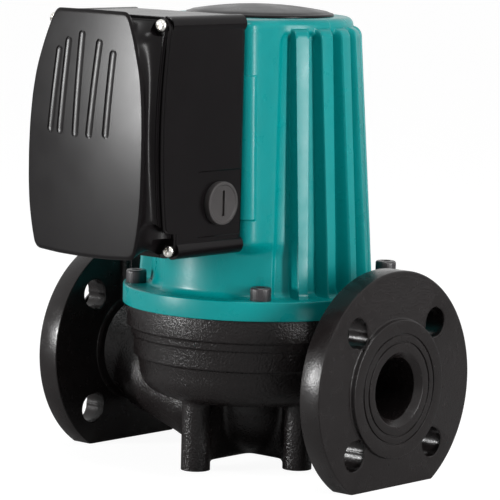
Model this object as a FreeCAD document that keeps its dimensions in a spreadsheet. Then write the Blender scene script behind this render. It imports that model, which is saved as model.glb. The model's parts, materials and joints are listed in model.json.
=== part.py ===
"""In-line circulating pump with a wet rotor: flanged volute, finned motor and terminal box.

Millimetres. The pump axis is Z, the pipe runs along X with its inlet at -X, and the terminal
box faces -Y. The origin is on the pump axis, in the plane that the feet stand on.
"""
import FreeCAD, Part
import Sketcher
import math
import os
from FreeCAD import Placement, Rotation, Vector

DOCUMENT = FreeCAD.newDocument("circulating_pump")

# Driving dimensions: alias, value, what it is.
DIMENSIONS = (
    ("pipe_height", 63.0, "standing plane to pipe centre line"),
    ("port_spacing", 250.0, "face to face over the two pipe flanges"),
    ("flange_radius", 75.0, "pipe flange"),
    ("flange_plate", 16.0, "pipe flange without its raised face"),
    ("face_radius", 44.0, "raised sealing face"),
    ("face_step", 3.0, "height of the raised face"),
    ("face_groove_inner", 30.0, "inner gasket groove, mean radius"),
    ("face_groove_outer", 35.0, "outer gasket groove, mean radius"),
    ("face_groove_width", 1.2, "gasket groove width"),
    ("face_groove_depth", 0.8, "gasket groove depth"),
    ("port_radius", 20.0, "bore of the ports and ducts"),
    ("port_straight", 24.0, "straight bore behind the inlet's face"),
    ("mouth_radius", 24.0, "bevelled mouth of a port"),
    ("mouth_depth", 4.0, "length of the bevel"),
    ("large_bolt_circle", 110.0, "pitch circle of the large flange bolts"),
    ("large_hole_radius", 9.5, "hole for the large flange bolts"),
    ("small_bolt_circle", 100.0, "pitch circle of the small flange bolts"),
    ("small_hole_radius", 6.5, "hole for the small flange bolts"),
    ("duct_wall", 7.5, "wall of the ducts and necks"),
    ("duct_drop", 28.5, "how far the inlet duct dips below the pipe centre line"),
    ("joint_height", 104.0, "standing plane to the joint of casing and motor"),
    ("ring_radius", 82.0, "casing ring under the motor flange"),
    ("ring_height", 13.0, "height of the casing ring"),
    ("bowl_radius", 79.0, "casing bowl under the ring"),
    ("bowl_step", 1.5, "each step of the bowl's rings"),
    ("bowl_floor_radius", 62.0, "flat underside of the bowl"),
    ("bowl_depth", 59.0, "motor joint down to the underside of the bowl"),
    ("chamber_radius", 64.0, "volute chamber"),
    ("chamber_depth", 34.0, "bearing plate down to the chamber floor"),
    ("bend_reach", 82.0, "pump axis to the bends of both ducts"),
    ("outlet_start_reach", 44.0, "pump axis to the start of the outlet duct"),
    ("flange_rib_width", 7.0, "rib up the back of each pipe flange"),
    ("flange_rib_offset", 10.0, "pump axis to that rib, towards the front"),
    ("plate_radius", 66.0, "bearing plate"),
    ("plate_thickness", 8.0, "bearing plate"),
    ("foot_radius", 9.0, "foot column"),
    ("foot_reach_front", 52.0, "pump axis to the front and rear feet"),
    ("foot_reach_side", 42.0, "pump axis to the side feet"),
    ("web_thickness", 10.0, "webs between the feet"),
    ("web_arch", 5.0, "clearance under the webs"),
    ("motor_flange_radius", 85.0, "motor flange"),
    ("motor_flange_plate", 12.5, "motor flange thickness"),
    ("front_bolt_reach", 76.5, "pump axis to the two front motor bolts"),
    ("rear_bolt_reach", 87.0, "pump axis to the two rear motor bolts, on lugs"),
    ("rear_lug_rise", 8.5, "rear lugs above the motor flange"),
    ("rear_lug_radius", 10.0, "rear lugs"),
    ("motor_bolt_radius", 4.0, "thread of the motor bolts"),
    ("motor_bolt_grip", 22.0, "shank length under the head"),
    ("bolt_head_radius", 6.5, "socket head"),
    ("bolt_head_height", 8.0, "socket head"),
    ("motor_height", 189.0, "motor joint to the top of the motor housing"),
    ("wall_radius_low", 70.0, "housing wall at the flange"),
    ("wall_radius_high", 60.5, "housing wall at the top"),
    ("fin_radius_low", 78.0, "fin crest at the flange"),
    ("fin_radius_high", 66.0, "fin crest at its upper end"),
    ("fin_top_gap", 13.0, "smooth band above the fins"),
    ("fin_thickness", 6.5, "fin"),
    ("stator_radius", 56.0, "laminated core and the housing bore that grips it"),
    ("stator_bore", 34.2, "inside of the laminated core"),
    ("slot_width", 4.2, "slots of the laminated core"),
    ("core_yoke", 8.0, "iron outside the slots"),
    ("core_height", 86.0, "stack of laminations"),
    ("core_rise", 38.0, "motor joint to the underside of the laminations"),
    ("winding_overhang", 22.0, "end turns above and below the laminations"),
    ("can_radius", 33.8, "outside of the separating can"),
    ("can_wall", 0.8, "wall of the separating can"),
    ("can_rise", 38.0, "top of the laminations to the rim of the can"),
    ("rotor_gap", 0.9, "radial gap between rotor sleeve and can"),
    ("rotor_sleeve_wall", 0.6, "rotor sleeve"),
    ("shaft_radius", 8.0, "shaft in its bearings"),
    ("shaft_step_radius", 6.0, "shaft under the impeller"),
    ("bearing_radius", 14.0, "outside of the carbon bushes"),
    ("bearing_length", 16.0, "carbon bushes"),
    ("bush_sink", 11.0, "lower bush, below the motor joint"),
    ("bearing_clearance", 0.05, "radial running clearance of the bushes"),
    ("impeller_radius", 46.0, "impeller"),
    ("plate_gap", 5.0, "running gap between impeller and bearing plate"),
    ("hub_length", 14.0, "impeller hub below the back shroud"),
    ("vane_height", 10.0, "vanes between the shrouds"),
    ("shroud_thickness", 3.0, "both shrouds"),
    ("eye_radius", 21.0, "impeller inlet"),
    ("skirt_radius", 24.5, "outside of the impeller skirt"),
    ("skirt_clearance", 0.3, "radial gap of the wear ring"),
    ("wear_ring_wall", 3.5, "wear ring"),
    ("wear_ring_height", 7.0, "wear ring"),
    ("vane_count", 7.0, "impeller vanes"),
    ("box_half_width", 50.0, "terminal box, pump axis to its side"),
    ("box_rise", 47.0, "motor joint to the underside of the box"),
    ("box_height", 144.0, "terminal box"),
    ("box_rear", 68.0, "pump axis to the rear wall of the box"),
    ("box_depth", 70.0, "rear wall to the joint with the cover"),
    ("box_wall", 3.0, "walls of the box and the cover"),
    ("box_corner", 8.0, "rounded corners of the box"),
    ("cover_rim", 9.0, "straight rim of the cover"),
    ("cover_crown", 13.0, "tapered front of the cover"),
    ("cover_inset", 9.0, "how far the crown tapers in at the sides"),
    ("pad_half_width", 42.0, "pad on the housing that carries the box"),
    ("gasket_thickness", 2.0, "gasket between pad and box"),
    ("lead_hole_radius", 9.0, "hole for the motor leads"),
    ("entry_rise", 29.5, "underside of the box to the cable entries"),
    ("entry_inset", 22.0, "rear wall of the box to the cable entries"),
    ("entry_radius", 12.5, "threaded cable entry"),
    ("plug_head_radius", 13.5, "blanking plug"),
    ("gland_bore", 6.5, "cable passage through the gland"),
    ("cap_radius", 48.0, "domed cap on the motor"),
    ("cap_height", 7.0, "domed cap on the motor"),
)

SHEET = DOCUMENT.addObject("Spreadsheet::Sheet", "Dims")


class Size:
    """A length with both its value and the sheet expression that gives it."""

    def __init__(self, value, text):
        self.value = float(value)
        self.text = text

    def combine(self, other, sign, value):
        return Size(value, "({} {} {})".format(self.text, sign, other.text))

    def __add__(self, other):
        other = size(other)
        return self.combine(other, "+", self.value + other.value)

    def __sub__(self, other):
        other = size(other)
        return self.combine(other, "-", self.value - other.value)

    def __mul__(self, other):
        other = size(other)
        return self.combine(other, "*", self.value * other.value)

    def __truediv__(self, other):
        other = size(other)
        return self.combine(other, "/", self.value / other.value)

    def __radd__(self, other):
        return size(other) + self

    def __rsub__(self, other):
        return size(other) - self

    def __rmul__(self, other):
        return size(other) * self

    def __neg__(self):
        return size(0) - self


def size(value):
    """Any number as a Size."""
    if isinstance(value, Size):
        return value
    return Size(value, "({:.9g})".format(value))


class Dimensions:
    """The driving dimensions as attributes, each bound to its cell in the sheet."""


def fill_sheet():
    """Write the driving dimensions to the sheet and return them as attributes."""
    dims = Dimensions()
    for index, (alias, value, note) in enumerate(DIMENSIONS):
        row = index + 1
        SHEET.set("A{}".format(row), note)
        SHEET.set("B{}".format(row), str(value))
        SHEET.setAlias("B{}".format(row), alias)
        setattr(dims, alias, Size(value, "Dims.{}".format(alias)))
    DOCUMENT.recompute()
    return dims


D = fill_sheet()
NODES = []

FRONT = Vector(0, -1, 0)
RIGHT = Vector(1, 0, 0)
LEFT = Vector(-1, 0, 0)
UP = Vector(0, 0, 1)


# ---------------------------------------------------------------- building blocks

def node(label, feature):
    """Name a finished sub-part and list it for export."""
    feature.Label = label
    NODES.append(feature)
    return feature


def bind(feature, **sizes):
    """Set properties of a feature and tie them to the sheet."""
    for name, length in sizes.items():
        length = size(length)
        setattr(feature, name, length.value)
        feature.setExpression(name, length.text)
    return feature


def place(feature, base, axis=UP):
    """Put a feature's own Z along axis, with its origin at base."""
    base = [size(value) for value in base]
    position = Vector(*[value.value for value in base])
    feature.Placement = Placement(position, Rotation(UP, axis))
    for letter, value in zip("xyz", base):
        feature.setExpression("Placement.Base." + letter, value.text)
    return feature


def cylinder(name, radius, height, base=(0, 0, 0), axis=UP):
    feature = DOCUMENT.addObject("Part::Cylinder", name)
    return place(bind(feature, Radius=radius, Height=height), base, axis)


def cone(name, radius_low, radius_high, height, base=(0, 0, 0), axis=UP):
    feature = DOCUMENT.addObject("Part::Cone", name)
    return place(bind(feature, Radius1=radius_low, Radius2=radius_high, Height=height), base, axis)


def sphere(name, radius, base, axis=UP):
    """A ball whose poles lie along axis."""
    return place(bind(DOCUMENT.addObject("Part::Sphere", name), Radius=radius), base, axis)


def ring(name, mean_radius, section_radius, base, axis=UP):
    feature = DOCUMENT.addObject("Part::Torus", name)
    return place(bind(feature, Radius1=mean_radius, Radius2=section_radius), base, axis)


def block(name, low, high):
    """A box between two opposite corners."""
    low = [size(value) for value in low]
    high = [size(value) for value in high]
    feature = DOCUMENT.addObject("Part::Box", name)
    bind(feature, Length=high[0] - low[0], Width=high[1] - low[1], Height=high[2] - low[2])
    return place(feature, low)


def hexagon(name, across_flats, height, base, axis=UP):
    feature = DOCUMENT.addObject("Part::Prism", name)
    feature.Polygon = 6
    return place(bind(feature, Circumradius=across_flats / math.sqrt(3), Height=height), base, axis)


def fuse(name, *features):
    feature = DOCUMENT.addObject("Part::MultiFuse", name)
    feature.Shapes = list(features)
    return feature


def cut(name, base, *tools):
    """Take the tools away from the base."""
    feature = DOCUMENT.addObject("Part::Cut", name)
    feature.Base = base
    feature.Tool = tools[0] if len(tools) == 1 else fuse(name + "_tools", *tools)
    return feature


def common(name, first, second):
    feature = DOCUMENT.addObject("Part::Common", name)
    feature.Base = first
    feature.Tool = second
    return feature


def group(name, features):
    """Several separate solids in one sub-part."""
    feature = DOCUMENT.addObject("Part::Compound", name)
    feature.Links = list(features)
    return feature


def tube(name, outer, inner, low, high):
    """A plain ring on the pump axis between two heights."""
    outside = cylinder(name + "_outside", outer, high - low, (0, 0, low))
    inside = cylinder(name + "_inside", inner, high - low + 2, (0, 0, low - 1))
    return cut(name, outside, inside)


def round_edges(name, base, radius, along):
    """Round the edges of a block that run along a direction."""
    DOCUMENT.recompute()
    feature = DOCUMENT.addObject("Part::Fillet", name)
    feature.Base = base
    edges = []
    for index, edge in enumerate(base.Shape.Edges):
        run = edge.Vertexes[-1].Point - edge.Vertexes[0].Point
        if run.Length > 0 and abs(run.normalize().dot(along)) > 0.999:
            edges.append((index + 1, radius.value, radius.value))
    feature.Edges = edges
    return feature


def origin_plane(body, role):
    for feature in body.Origin.OriginFeatures:
        if feature.Role == role:
            return feature
    raise ValueError("no plane " + role)


def profile_sketch(body, name, points, role="XZ_Plane"):
    """A closed outline in one of the body's own planes, each corner tied to the sheet."""
    points = [(size(x), size(y)) for x, y in points]
    sketch = body.newObject("Sketcher::SketchObject", name)
    sketch.AttachmentSupport = (origin_plane(body, role), [""])
    sketch.MapMode = "FlatFace"
    count = len(points)
    for index in range(count):
        start = points[index]
        end = points[(index + 1) % count]
        first = Vector(start[0].value, start[1].value, 0)
        second = Vector(end[0].value, end[1].value, 0)
        sketch.addGeometry(Part.LineSegment(first, second), False)
    for index in range(count):
        sketch.addConstraint(Sketcher.Constraint("Coincident", index, 2, (index + 1) % count, 1))
    for index, corner in enumerate(points):
        for kind, length in zip(("DistanceX", "DistanceY"), corner):
            if abs(length.value) < 1e-9:
                axis = -2 if kind == "DistanceX" else -1
                sketch.addConstraint(Sketcher.Constraint("PointOnObject", index, 1, axis))
                continue
            tie = sketch.addConstraint(Sketcher.Constraint(kind, -1, 1, index, 1, length.value))
            sketch.setExpression("Constraints[{}]".format(tie), length.text)
    return sketch


def new_body(name):
    return DOCUMENT.addObject("PartDesign::Body", name)


def revolve(body, name, points, about="V_Axis", kind="PartDesign::Revolution"):
    """Turn an outline of (radius, height) corners about the body's axis."""
    sketch = profile_sketch(body, name + "_outline", points)
    feature = body.newObject(kind, name)
    feature.Profile = sketch
    feature.ReferenceAxis = (sketch, [about])
    feature.Angle = 360.0
    body.Tip = feature
    return feature


def polar(body, name, original, count, angle):
    """Repeat a feature about the body's Z axis, evenly over an angle."""
    feature = body.newObject("PartDesign::PolarPattern", name)
    feature.Originals = [original]
    feature.Axis = (origin_plane(body, "Z_Axis"), [""])
    feature.Angle = angle
    feature.Occurrences = count
    body.Tip = feature
    return feature


def lathe(label, points):
    """A sub-part that is one turned solid on the pump axis."""
    body = new_body(label)
    revolve(body, label + "_turned", points)
    return node(label, body)


# ---------------------------------------------------------------- shared places

SHORT = 0.5                                   # overlap that keeps boolean faces apart
port_x = D.port_spacing / 2                   # pump axis to a flange face
plate_x = port_x - D.face_step                # outer side of the flange plate
neck_x = plate_x - D.flange_plate             # inner side of the flange plate
duct_outer = D.port_radius + D.duct_wall
duct_z = D.pipe_height - D.duct_drop          # centre of the inlet duct under the eye
plate_low = D.joint_height - D.plate_thickness
chamber_floor = plate_low - D.chamber_depth
bowl_floor = D.joint_height - D.bowl_depth
impeller_back = plate_low - D.plate_gap - D.shroud_thickness
hub_low = impeller_back - D.hub_length
bush_low = D.joint_height - D.bush_sink
motor_flange_top = D.joint_height + D.motor_flange_plate
core_low = D.joint_height + D.core_rise
core_top = core_low + D.core_height
can_top = core_top + D.can_rise
motor_top = D.joint_height + D.motor_height
fin_top = motor_top - D.fin_top_gap
front_shroud = impeller_back - D.vane_height - D.shroud_thickness
box_low = D.joint_height + D.box_rise
box_high = box_low + D.box_height
entry_height = box_low + D.entry_rise
entry_depth = D.box_rear + D.entry_inset
box_front = D.box_rear + D.box_depth
pad_front = D.box_rear - D.gasket_thickness
can_inner = D.can_radius - D.can_wall
sleeve_radius = can_inner - D.rotor_gap
rotor_radius = sleeve_radius - D.rotor_sleeve_wall


def on_circle(reach, degrees):
    """A place at a distance from an axis, as its two coordinates."""
    angle = math.radians(degrees)
    return reach * round(math.cos(angle), 9), reach * round(math.sin(angle), 9)


def polar_points(radius, count, start):
    """Evenly spaced places on a circle."""
    for index in range(count):
        yield on_circle(radius, start + index * 360.0 / count)


def motor_bolt_places():
    """The four motor bolts, as x, y and the height of lug each stands on."""
    for degrees in (-135, -45):
        x, y = on_circle(D.front_bolt_reach, degrees)
        yield x, y, size(0)
    for degrees in (45, 135):
        x, y = on_circle(D.rear_bolt_reach, degrees)
        yield x, y, D.rear_lug_rise


# ---------------------------------------------------------------- casing

def duct_run(name, radius, points):
    """Round duct through a list of (x, z) points, with slightly wider ball corners."""
    features = []
    last = None
    for index in range(len(points) - 1):
        (x0, z0), (x1, z1) = points[index], points[index + 1]
        run = Vector(x1.value - x0.value, 0, z1.value - z0.value)
        features.append(cylinder("{}_run{}".format(name, index), radius, run.Length, (x0, 0, z0), run))
        ahead = Vector(run).normalize()
        if last is not None:
            poles = last + ahead
            features.append(sphere("{}_ball{}".format(name, index), radius + BALL_EXTRA, (x0, 0, z0), poles))
        last = ahead
    return features


BALL_EXTRA = 0.4                              # keeps ball corners from lying tangent to the runs
OUTLET_SKIN_SHARE = 0.42                      # the outlet's skin starts this far along its slope


def duct_points():
    """Centre lines of the inlet duct, down and in, and of the outlet duct, from chamber to port."""
    inlet = [
        (D.port_straight - port_x, D.pipe_height),
        (-D.bend_reach, D.pipe_height - D.duct_drop * 0.55),
        (-D.bend_reach / 2, duct_z),
        (size(0), duct_z),
        (size(0), chamber_floor - D.wear_ring_height),
    ]
    outlet = [
        (D.outlet_start_reach, chamber_floor + D.port_radius),
        (D.bend_reach, D.pipe_height),
        (neck_x, D.pipe_height),
    ]
    return inlet, outlet


def flange_solids(side, direction):
    """Plate, raised face and neck fillet cone of one pipe flange."""
    sign = direction.x
    plate = cylinder(side + "_plate", D.flange_radius, D.flange_plate,
                     (neck_x * sign, 0, D.pipe_height), direction)
    face = cylinder(side + "_face", D.face_radius, D.face_step + SHORT,
                    ((plate_x - SHORT) * sign, 0, D.pipe_height), direction)
    collar_length = 10.0
    collar = cone(side + "_collar", duct_outer, duct_outer + 6, collar_length,
                  ((neck_x - collar_length) * sign, 0, D.pipe_height), direction)
    rib_radius = D.flange_rib_width / 2
    rib = cylinder(side + "_rib", rib_radius, D.flange_radius - 6 - D.port_radius,
                   (neck_x * sign, -D.flange_rib_offset, D.pipe_height + D.port_radius), UP)
    return [plate, face, collar, rib]


def flange_cuts(side, direction):
    """Port, bevelled mouth, gasket grooves and bolt holes of one pipe flange."""
    sign = direction.x
    port_length = D.port_straight if side == "inlet" else port_x - D.bend_reach
    port = cylinder(side + "_port", D.port_radius, port_length + 1,
                    ((port_x - port_length) * sign, 0, D.pipe_height), direction)
    mouth = cone(side + "_mouth", D.port_radius, D.mouth_radius, D.mouth_depth,
                 ((port_x - D.mouth_depth) * sign, 0, D.pipe_height), direction)
    features = [port, mouth]
    for name, mean in (("inner", D.face_groove_inner), ("outer", D.face_groove_outer)):
        groove_base = ((port_x - D.face_groove_depth) * sign, 0, D.pipe_height)
        outside = cylinder("{}_{}_groove_rim".format(side, name), mean + D.face_groove_width / 2,
                           D.face_groove_depth + 1, groove_base, direction)
        inside = cylinder("{}_{}_groove_core".format(side, name), mean - D.face_groove_width / 2,
                          D.face_groove_depth + 2, groove_base, direction)
        features.append(cut("{}_{}_groove".format(side, name), outside, inside))
    for circle, radius in ((D.large_bolt_circle, D.large_hole_radius),
                           (D.small_bolt_circle, D.small_hole_radius)):
        for index, (y, z) in enumerate(polar_points(circle / 2, 4, 45)):
            features.append(cylinder("{}_hole".format(side), radius, D.flange_plate + 2,
                                     ((neck_x - 1) * sign, y, D.pipe_height + z), direction))
    return features


def volute_casing():
    """Cast casing: bowl, both ducts with their flanges, feet, chamber and seats."""
    body = new_body("casing_bowl")
    ring_low = D.joint_height - D.ring_height
    revolve(body, "casing_bowl_turned", (
        (0, bowl_floor),
        (D.bowl_floor_radius, bowl_floor),
        (D.bowl_radius - D.bowl_step * 3 - 2, bowl_floor + 10),
        (D.bowl_radius - D.bowl_step * 3, chamber_floor + 5),
        (D.bowl_radius - D.bowl_step * 2, chamber_floor + 6),
        (D.bowl_radius - D.bowl_step * 2, chamber_floor + 15),
        (D.bowl_radius - D.bowl_step, chamber_floor + 16),
        (D.bowl_radius - D.bowl_step, ring_low - 7),
        (D.bowl_radius, ring_low - 6),
        (D.bowl_radius, ring_low),
        (D.ring_radius, ring_low + 1),
        (D.ring_radius, D.joint_height),
        (0, D.joint_height),
    ))
    inlet, outlet = duct_points()
    solids = [body]
    solids += duct_run("inlet_skin", duct_outer, inlet[:4])
    solids.append(sphere("inlet_elbow", duct_outer + BALL_EXTRA, (0, 0, duct_z), RIGHT + UP))
    solids.append(cylinder("eye_column", duct_outer + 4, chamber_floor - duct_z, (0, 0, duct_z)))
    start, bend = outlet[0], outlet[1]
    skin_start = (start[0] + (bend[0] - start[0]) * OUTLET_SKIN_SHARE,
                  start[1] + (bend[1] - start[1]) * OUTLET_SKIN_SHARE)
    solids += duct_run("outlet_skin", duct_outer, [skin_start] + outlet[1:])
    for side, direction in (("inlet", LEFT), ("outlet", RIGHT)):
        solids += flange_solids(side, direction)
    column_top = bowl_floor + 8
    half = D.web_thickness / 2
    for x, y in ((0, -D.foot_reach_front), (0, D.foot_reach_front),
                 (D.foot_reach_side, 0), (-D.foot_reach_side, 0)):
        solids.append(cylinder("foot", D.foot_radius, column_top, (x, y, 0)))
    solids.append(block("web_across", (-half, -D.foot_reach_front, D.web_arch),
                        (half, D.foot_reach_front, column_top)))
    solids.append(block("web_along", (-D.foot_reach_side, -half, D.web_arch),
                        (D.foot_reach_side, half, column_top)))
    for x, y, rise in motor_bolt_places():
        if rise.value > 0:
            solids.append(cylinder("casing_lug", D.rear_lug_radius, D.ring_height + SHORT,
                                   (x, y, ring_low - SHORT)))
    rough = fuse("casing_solid", *solids)

    span = D.port_spacing + 50
    ground = block("standing_plane", (-span / 2, -100, -60), (span / 2, 100, 0))
    standing = cut("casing_standing", rough, ground)

    wear_seat = D.skirt_radius + D.skirt_clearance + D.wear_ring_wall
    turned_cuts = [
        cylinder("chamber", D.chamber_radius, plate_low - chamber_floor + 1, (0, 0, chamber_floor)),
        cylinder("plate_seat", D.plate_radius, D.plate_thickness + 1, (0, 0, plate_low)),
        cylinder("wear_seat", wear_seat, D.wear_ring_height + 1, (0, 0, chamber_floor - D.wear_ring_height)),
    ]
    hollow = cut("casing_hollow", standing, *turned_cuts)
    ways = duct_run("inlet_way", D.port_radius, inlet)
    ways += duct_run("outlet_way", D.port_radius - 3, outlet[:2])
    for side, place in (("inlet", D.port_straight - port_x), ("outlet", D.bend_reach)):
        ways.append(sphere(side + "_turn", D.port_radius + BALL_EXTRA, (place, 0, D.pipe_height), RIGHT))
    open_ducts = cut("casing_ducts", hollow, *ways)

    drilled = open_ducts
    for side, direction in (("inlet", LEFT), ("outlet", RIGHT)):
        drilled = cut(side + "_machined", drilled, *flange_cuts(side, direction))
    tools = [o_ring_groove()]
    thread = D.motor_bolt_grip - D.motor_flange_plate
    for x, y, rise in motor_bolt_places():
        tools.append(cylinder("tapped_hole", D.motor_bolt_radius, thread + 2,
                              (x, y, D.joint_height - thread - 1)))
    return node("volute_casing", cut("volute_casing", drilled, *tools))


O_RING_SECTION = 1.5


def o_ring_radius():
    return D.plate_radius + 2.6


def o_ring_groove():
    """Square groove in the casing's top face for its sealing ring."""
    mean = o_ring_radius()
    depth = 2 * O_RING_SECTION
    half = O_RING_SECTION + 0.1
    outside = cylinder("seal_groove_rim", mean + half, depth + 1, (0, 0, D.joint_height - depth))
    inside = cylinder("seal_groove_core", mean - half, depth + 2, (0, 0, D.joint_height - depth))
    return cut("seal_groove", outside, inside)


def casing_seals():
    node("casing_seal_ring", ring("casing_seal_ring", o_ring_radius(), O_RING_SECTION,
                                  (0, 0, D.joint_height - O_RING_SECTION)))
    bore = D.skirt_radius + D.skirt_clearance
    low = chamber_floor - D.wear_ring_height
    node("wear_ring", tube("wear_ring", bore + D.wear_ring_wall, bore, low, chamber_floor))


# ---------------------------------------------------------------- wet end of the motor

THRUST_GAP = 0.3
HUB_RADIUS = 13.0


def bearing_plate():
    """Plate that closes the chamber, centres the can and carries the lower bush."""
    bush_top = bush_low + D.bearing_length
    hub = D.bearing_radius + 5
    lathe("bearing_plate", (
        (D.bearing_radius, bush_low),
        (hub, bush_low),
        (hub, plate_low),
        (D.plate_radius, plate_low),
        (D.plate_radius, D.joint_height),
        (can_inner, D.joint_height),
        (can_inner, D.joint_height + 4),
        (can_inner - 3, D.joint_height + 4),
        (can_inner - 3, D.joint_height - 2),
        (hub, D.joint_height - 2),
        (hub, bush_top),
        (D.bearing_radius, bush_top),
    ))


def bushes():
    bore = D.shaft_radius + D.bearing_clearance
    for label, low in (("lower_bearing", bush_low), ("upper_bearing", upper_bush_low())):
        node(label, tube(label, D.bearing_radius, bore, low, low + D.bearing_length))


def upper_bush_low():
    return can_top - D.bearing_length - 6


def separating_can():
    """Thin can between the wet rotor and the dry stator, flanged at its foot."""
    foot = D.joint_height
    lathe("rotor_can", (
        (can_inner, foot),
        (D.can_radius + 12, foot),
        (D.can_radius + 12, foot + D.can_wall),
        (D.can_radius, foot + D.can_wall),
        (D.can_radius, can_top),
        (can_inner, can_top),
    ))
    node("can_seal_ring", ring("can_seal_ring", D.can_radius + 1.5 + 0.1, 1.5, (0, 0, can_top - 4)))


def bearing_holder():
    """Cup in the top of the can for the upper bush, with the thread of the vent plug."""
    low = upper_bush_low()
    top = low + D.bearing_length
    lathe("bearing_holder", (
        (D.bearing_radius, low),
        (can_inner, low),
        (can_inner, can_top + 2),
        (VENT_RADIUS, can_top + 2),
        (VENT_RADIUS, top),
        (D.bearing_radius, top),
    ))


VENT_RADIUS = 7.0


def vent():
    """Vent screw and its washer, under the cap on the motor."""
    seat = motor_top - 6
    low = can_top - 5
    shank = cylinder("vent_shank", VENT_RADIUS, seat - low, (0, 0, low))
    head = cylinder("vent_head", VENT_RADIUS + 4, 4, (0, 0, seat + 1))
    washer_spigot = cylinder("vent_spigot", VENT_RADIUS, 1, (0, 0, seat))
    slot = block("vent_slot", (-14, -1, seat + 3), (14, 1, seat + 6))
    node("vent_screw", cut("vent_screw", fuse("vent_solid", shank, washer_spigot, head), slot))
    node("vent_washer", tube("vent_washer", size(VENT_RADIUS + 3), size(VENT_RADIUS), seat, seat + 1))


# ---------------------------------------------------------------- motor

FIN_PITCH = 360.0 / 22
FIN_COUNT = 15
FIRST_FIN = 90.0 - 7 * FIN_PITCH


def wall_radius(height):
    """Radius of the tapered housing wall at a height."""
    share = (height - motor_flange_top) / (motor_top - motor_flange_top)
    return D.wall_radius_low + (D.wall_radius_high - D.wall_radius_low) * share


def motor_housing():
    """Die-cast housing with its flange, fins, box pad and stepped bore."""
    body = new_body("housing_shell")
    edge = 5.0
    revolve(body, "housing_wall", (
        (0, D.joint_height),
        (D.motor_flange_radius, D.joint_height),
        (D.motor_flange_radius, motor_flange_top - 1),
        (D.motor_flange_radius - 1, motor_flange_top),
        (D.wall_radius_low, motor_flange_top),
        (wall_radius(motor_top - edge), motor_top - edge),
        (D.wall_radius_high - edge * 0.3, motor_top - edge * 0.3),
        (D.wall_radius_high - edge, motor_top),
        (0, motor_top),
    ))
    root = D.stator_radius + 2
    fin_sketch = profile_sketch(body, "fin_outline", (
        (root, motor_flange_top - 1),
        (D.fin_radius_low, motor_flange_top - 1),
        (D.fin_radius_high, fin_top - 5),
        (D.fin_radius_high - 1.5, fin_top - 1.5),
        (D.fin_radius_high - 5, fin_top),
        (root, fin_top),
    ))
    fin = body.newObject("PartDesign::Pad", "fin")
    fin.Profile = fin_sketch
    fin.Midplane = True
    bind(fin, Length=D.fin_thickness)
    body.Tip = fin
    polar(body, "fins", fin, FIN_COUNT, FIN_PITCH * (FIN_COUNT - 1))
    place_turned(body, FIRST_FIN)

    pad = block("box_pad", (-D.pad_half_width, -pad_front, motor_flange_top - 1),
                (D.pad_half_width, -D.stator_radius / 2, motor_top - 4))
    lugs = []
    for x, y, rise in motor_bolt_places():
        if rise.value > 0:
            lugs.append(cylinder("housing_lug", D.rear_lug_radius, D.motor_flange_plate + rise,
                                 (x, y, D.joint_height)))
    shell = fuse("housing_solid", body, pad, *lugs)
    top_wall = 6.0
    tools = [
        block("pad_face", (-D.motor_flange_radius, -D.motor_flange_radius, box_low - 7),
              (D.motor_flange_radius, -pad_front, motor_top + 1)),
        cylinder("stator_bore_way", D.stator_radius, motor_top - top_wall - D.joint_height + 1,
                 (0, 0, D.joint_height - 1)),
        cylinder("vent_way", size(VENT_RADIUS + 0.5), size(20), (0, 0, motor_top - 10)),
        cylinder("cap_recess", size(VENT_RADIUS + 6), size(10), (0, 0, motor_top - top_wall)),
        cylinder("lead_way", D.lead_hole_radius, size(40), (0, -pad_front + 30, lead_height()), FRONT),
    ]
    for x, y, rise in motor_bolt_places():
        tools.append(cylinder("bolt_way", D.motor_bolt_radius + 0.4, D.motor_flange_plate + rise + 2,
                              (x, y, D.joint_height - 1)))
        tools.append(cylinder("spot_face", D.bolt_head_radius + 0.8, D.bolt_head_height + 3,
                              (x, y, motor_flange_top + rise)))
    for x, z in box_screw_places():
        tools.append(cylinder("box_screw_way", size(BOX_SCREW_RADIUS), size(9),
                              (x, -pad_front + 8, z), FRONT))
    return node("motor_housing", cut("motor_housing", shell, *tools))


def place_turned(feature, degrees):
    """Turn a body about the pump axis."""
    feature.Placement = Placement(Vector(0, 0, 0), Rotation(UP, degrees))


def lead_height():
    return core_top + 8


def motor_bolts():
    """Socket-head bolts that hold the motor to the casing."""
    bolts = []
    for index, (x, y, rise) in enumerate(motor_bolt_places()):
        seat = motor_flange_top + rise
        shank = cylinder("bolt_shank", D.motor_bolt_radius, D.motor_bolt_grip + rise,
                         (x, y, motor_flange_top - D.motor_bolt_grip))
        head = cylinder("bolt_head", D.bolt_head_radius, D.bolt_head_height, (x, y, seat))
        socket = hexagon("bolt_socket", 6.0, size(5), (x, y, seat + D.bolt_head_height - 4.5))
        bolts.append(cut("motor_bolt{}".format(index), fuse("bolt_solid", shank, head), socket))
    node("motor_bolts", group("motor_bolts", bolts))


SLOT_COUNT = 24
SLOT_WALL = 0.4


def stator():
    """Laminated core with open slots, and the copper that fills them."""
    core = tube("core_ring", D.stator_radius, D.stator_bore, core_low, core_top)
    slots = []
    bars = []
    slot_bottom = D.stator_radius - D.core_yoke
    for index in range(SLOT_COUNT):
        slots.append(slot_bar("slot", index, D.slot_width, D.stator_bore - 1, slot_bottom,
                              core_low - 1, core_top + 1))
        bars.append(slot_bar("bar", index, D.slot_width - 2 * SLOT_WALL, D.stator_bore + 3,
                             slot_bottom - SLOT_WALL, core_low - 2, core_top + 2))
    node("stator_core", cut("stator_core", core, *slots))
    turn_outer = D.stator_radius - 4
    turn_inner = D.stator_bore + 3
    lower = tube("lower_turns", turn_outer, turn_inner, core_low - D.winding_overhang, core_low - 1)
    upper = tube("upper_turns", turn_outer, turn_inner, core_top + 1, core_top + D.winding_overhang)
    node("stator_winding", fuse("stator_winding", lower, upper, *bars))


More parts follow.
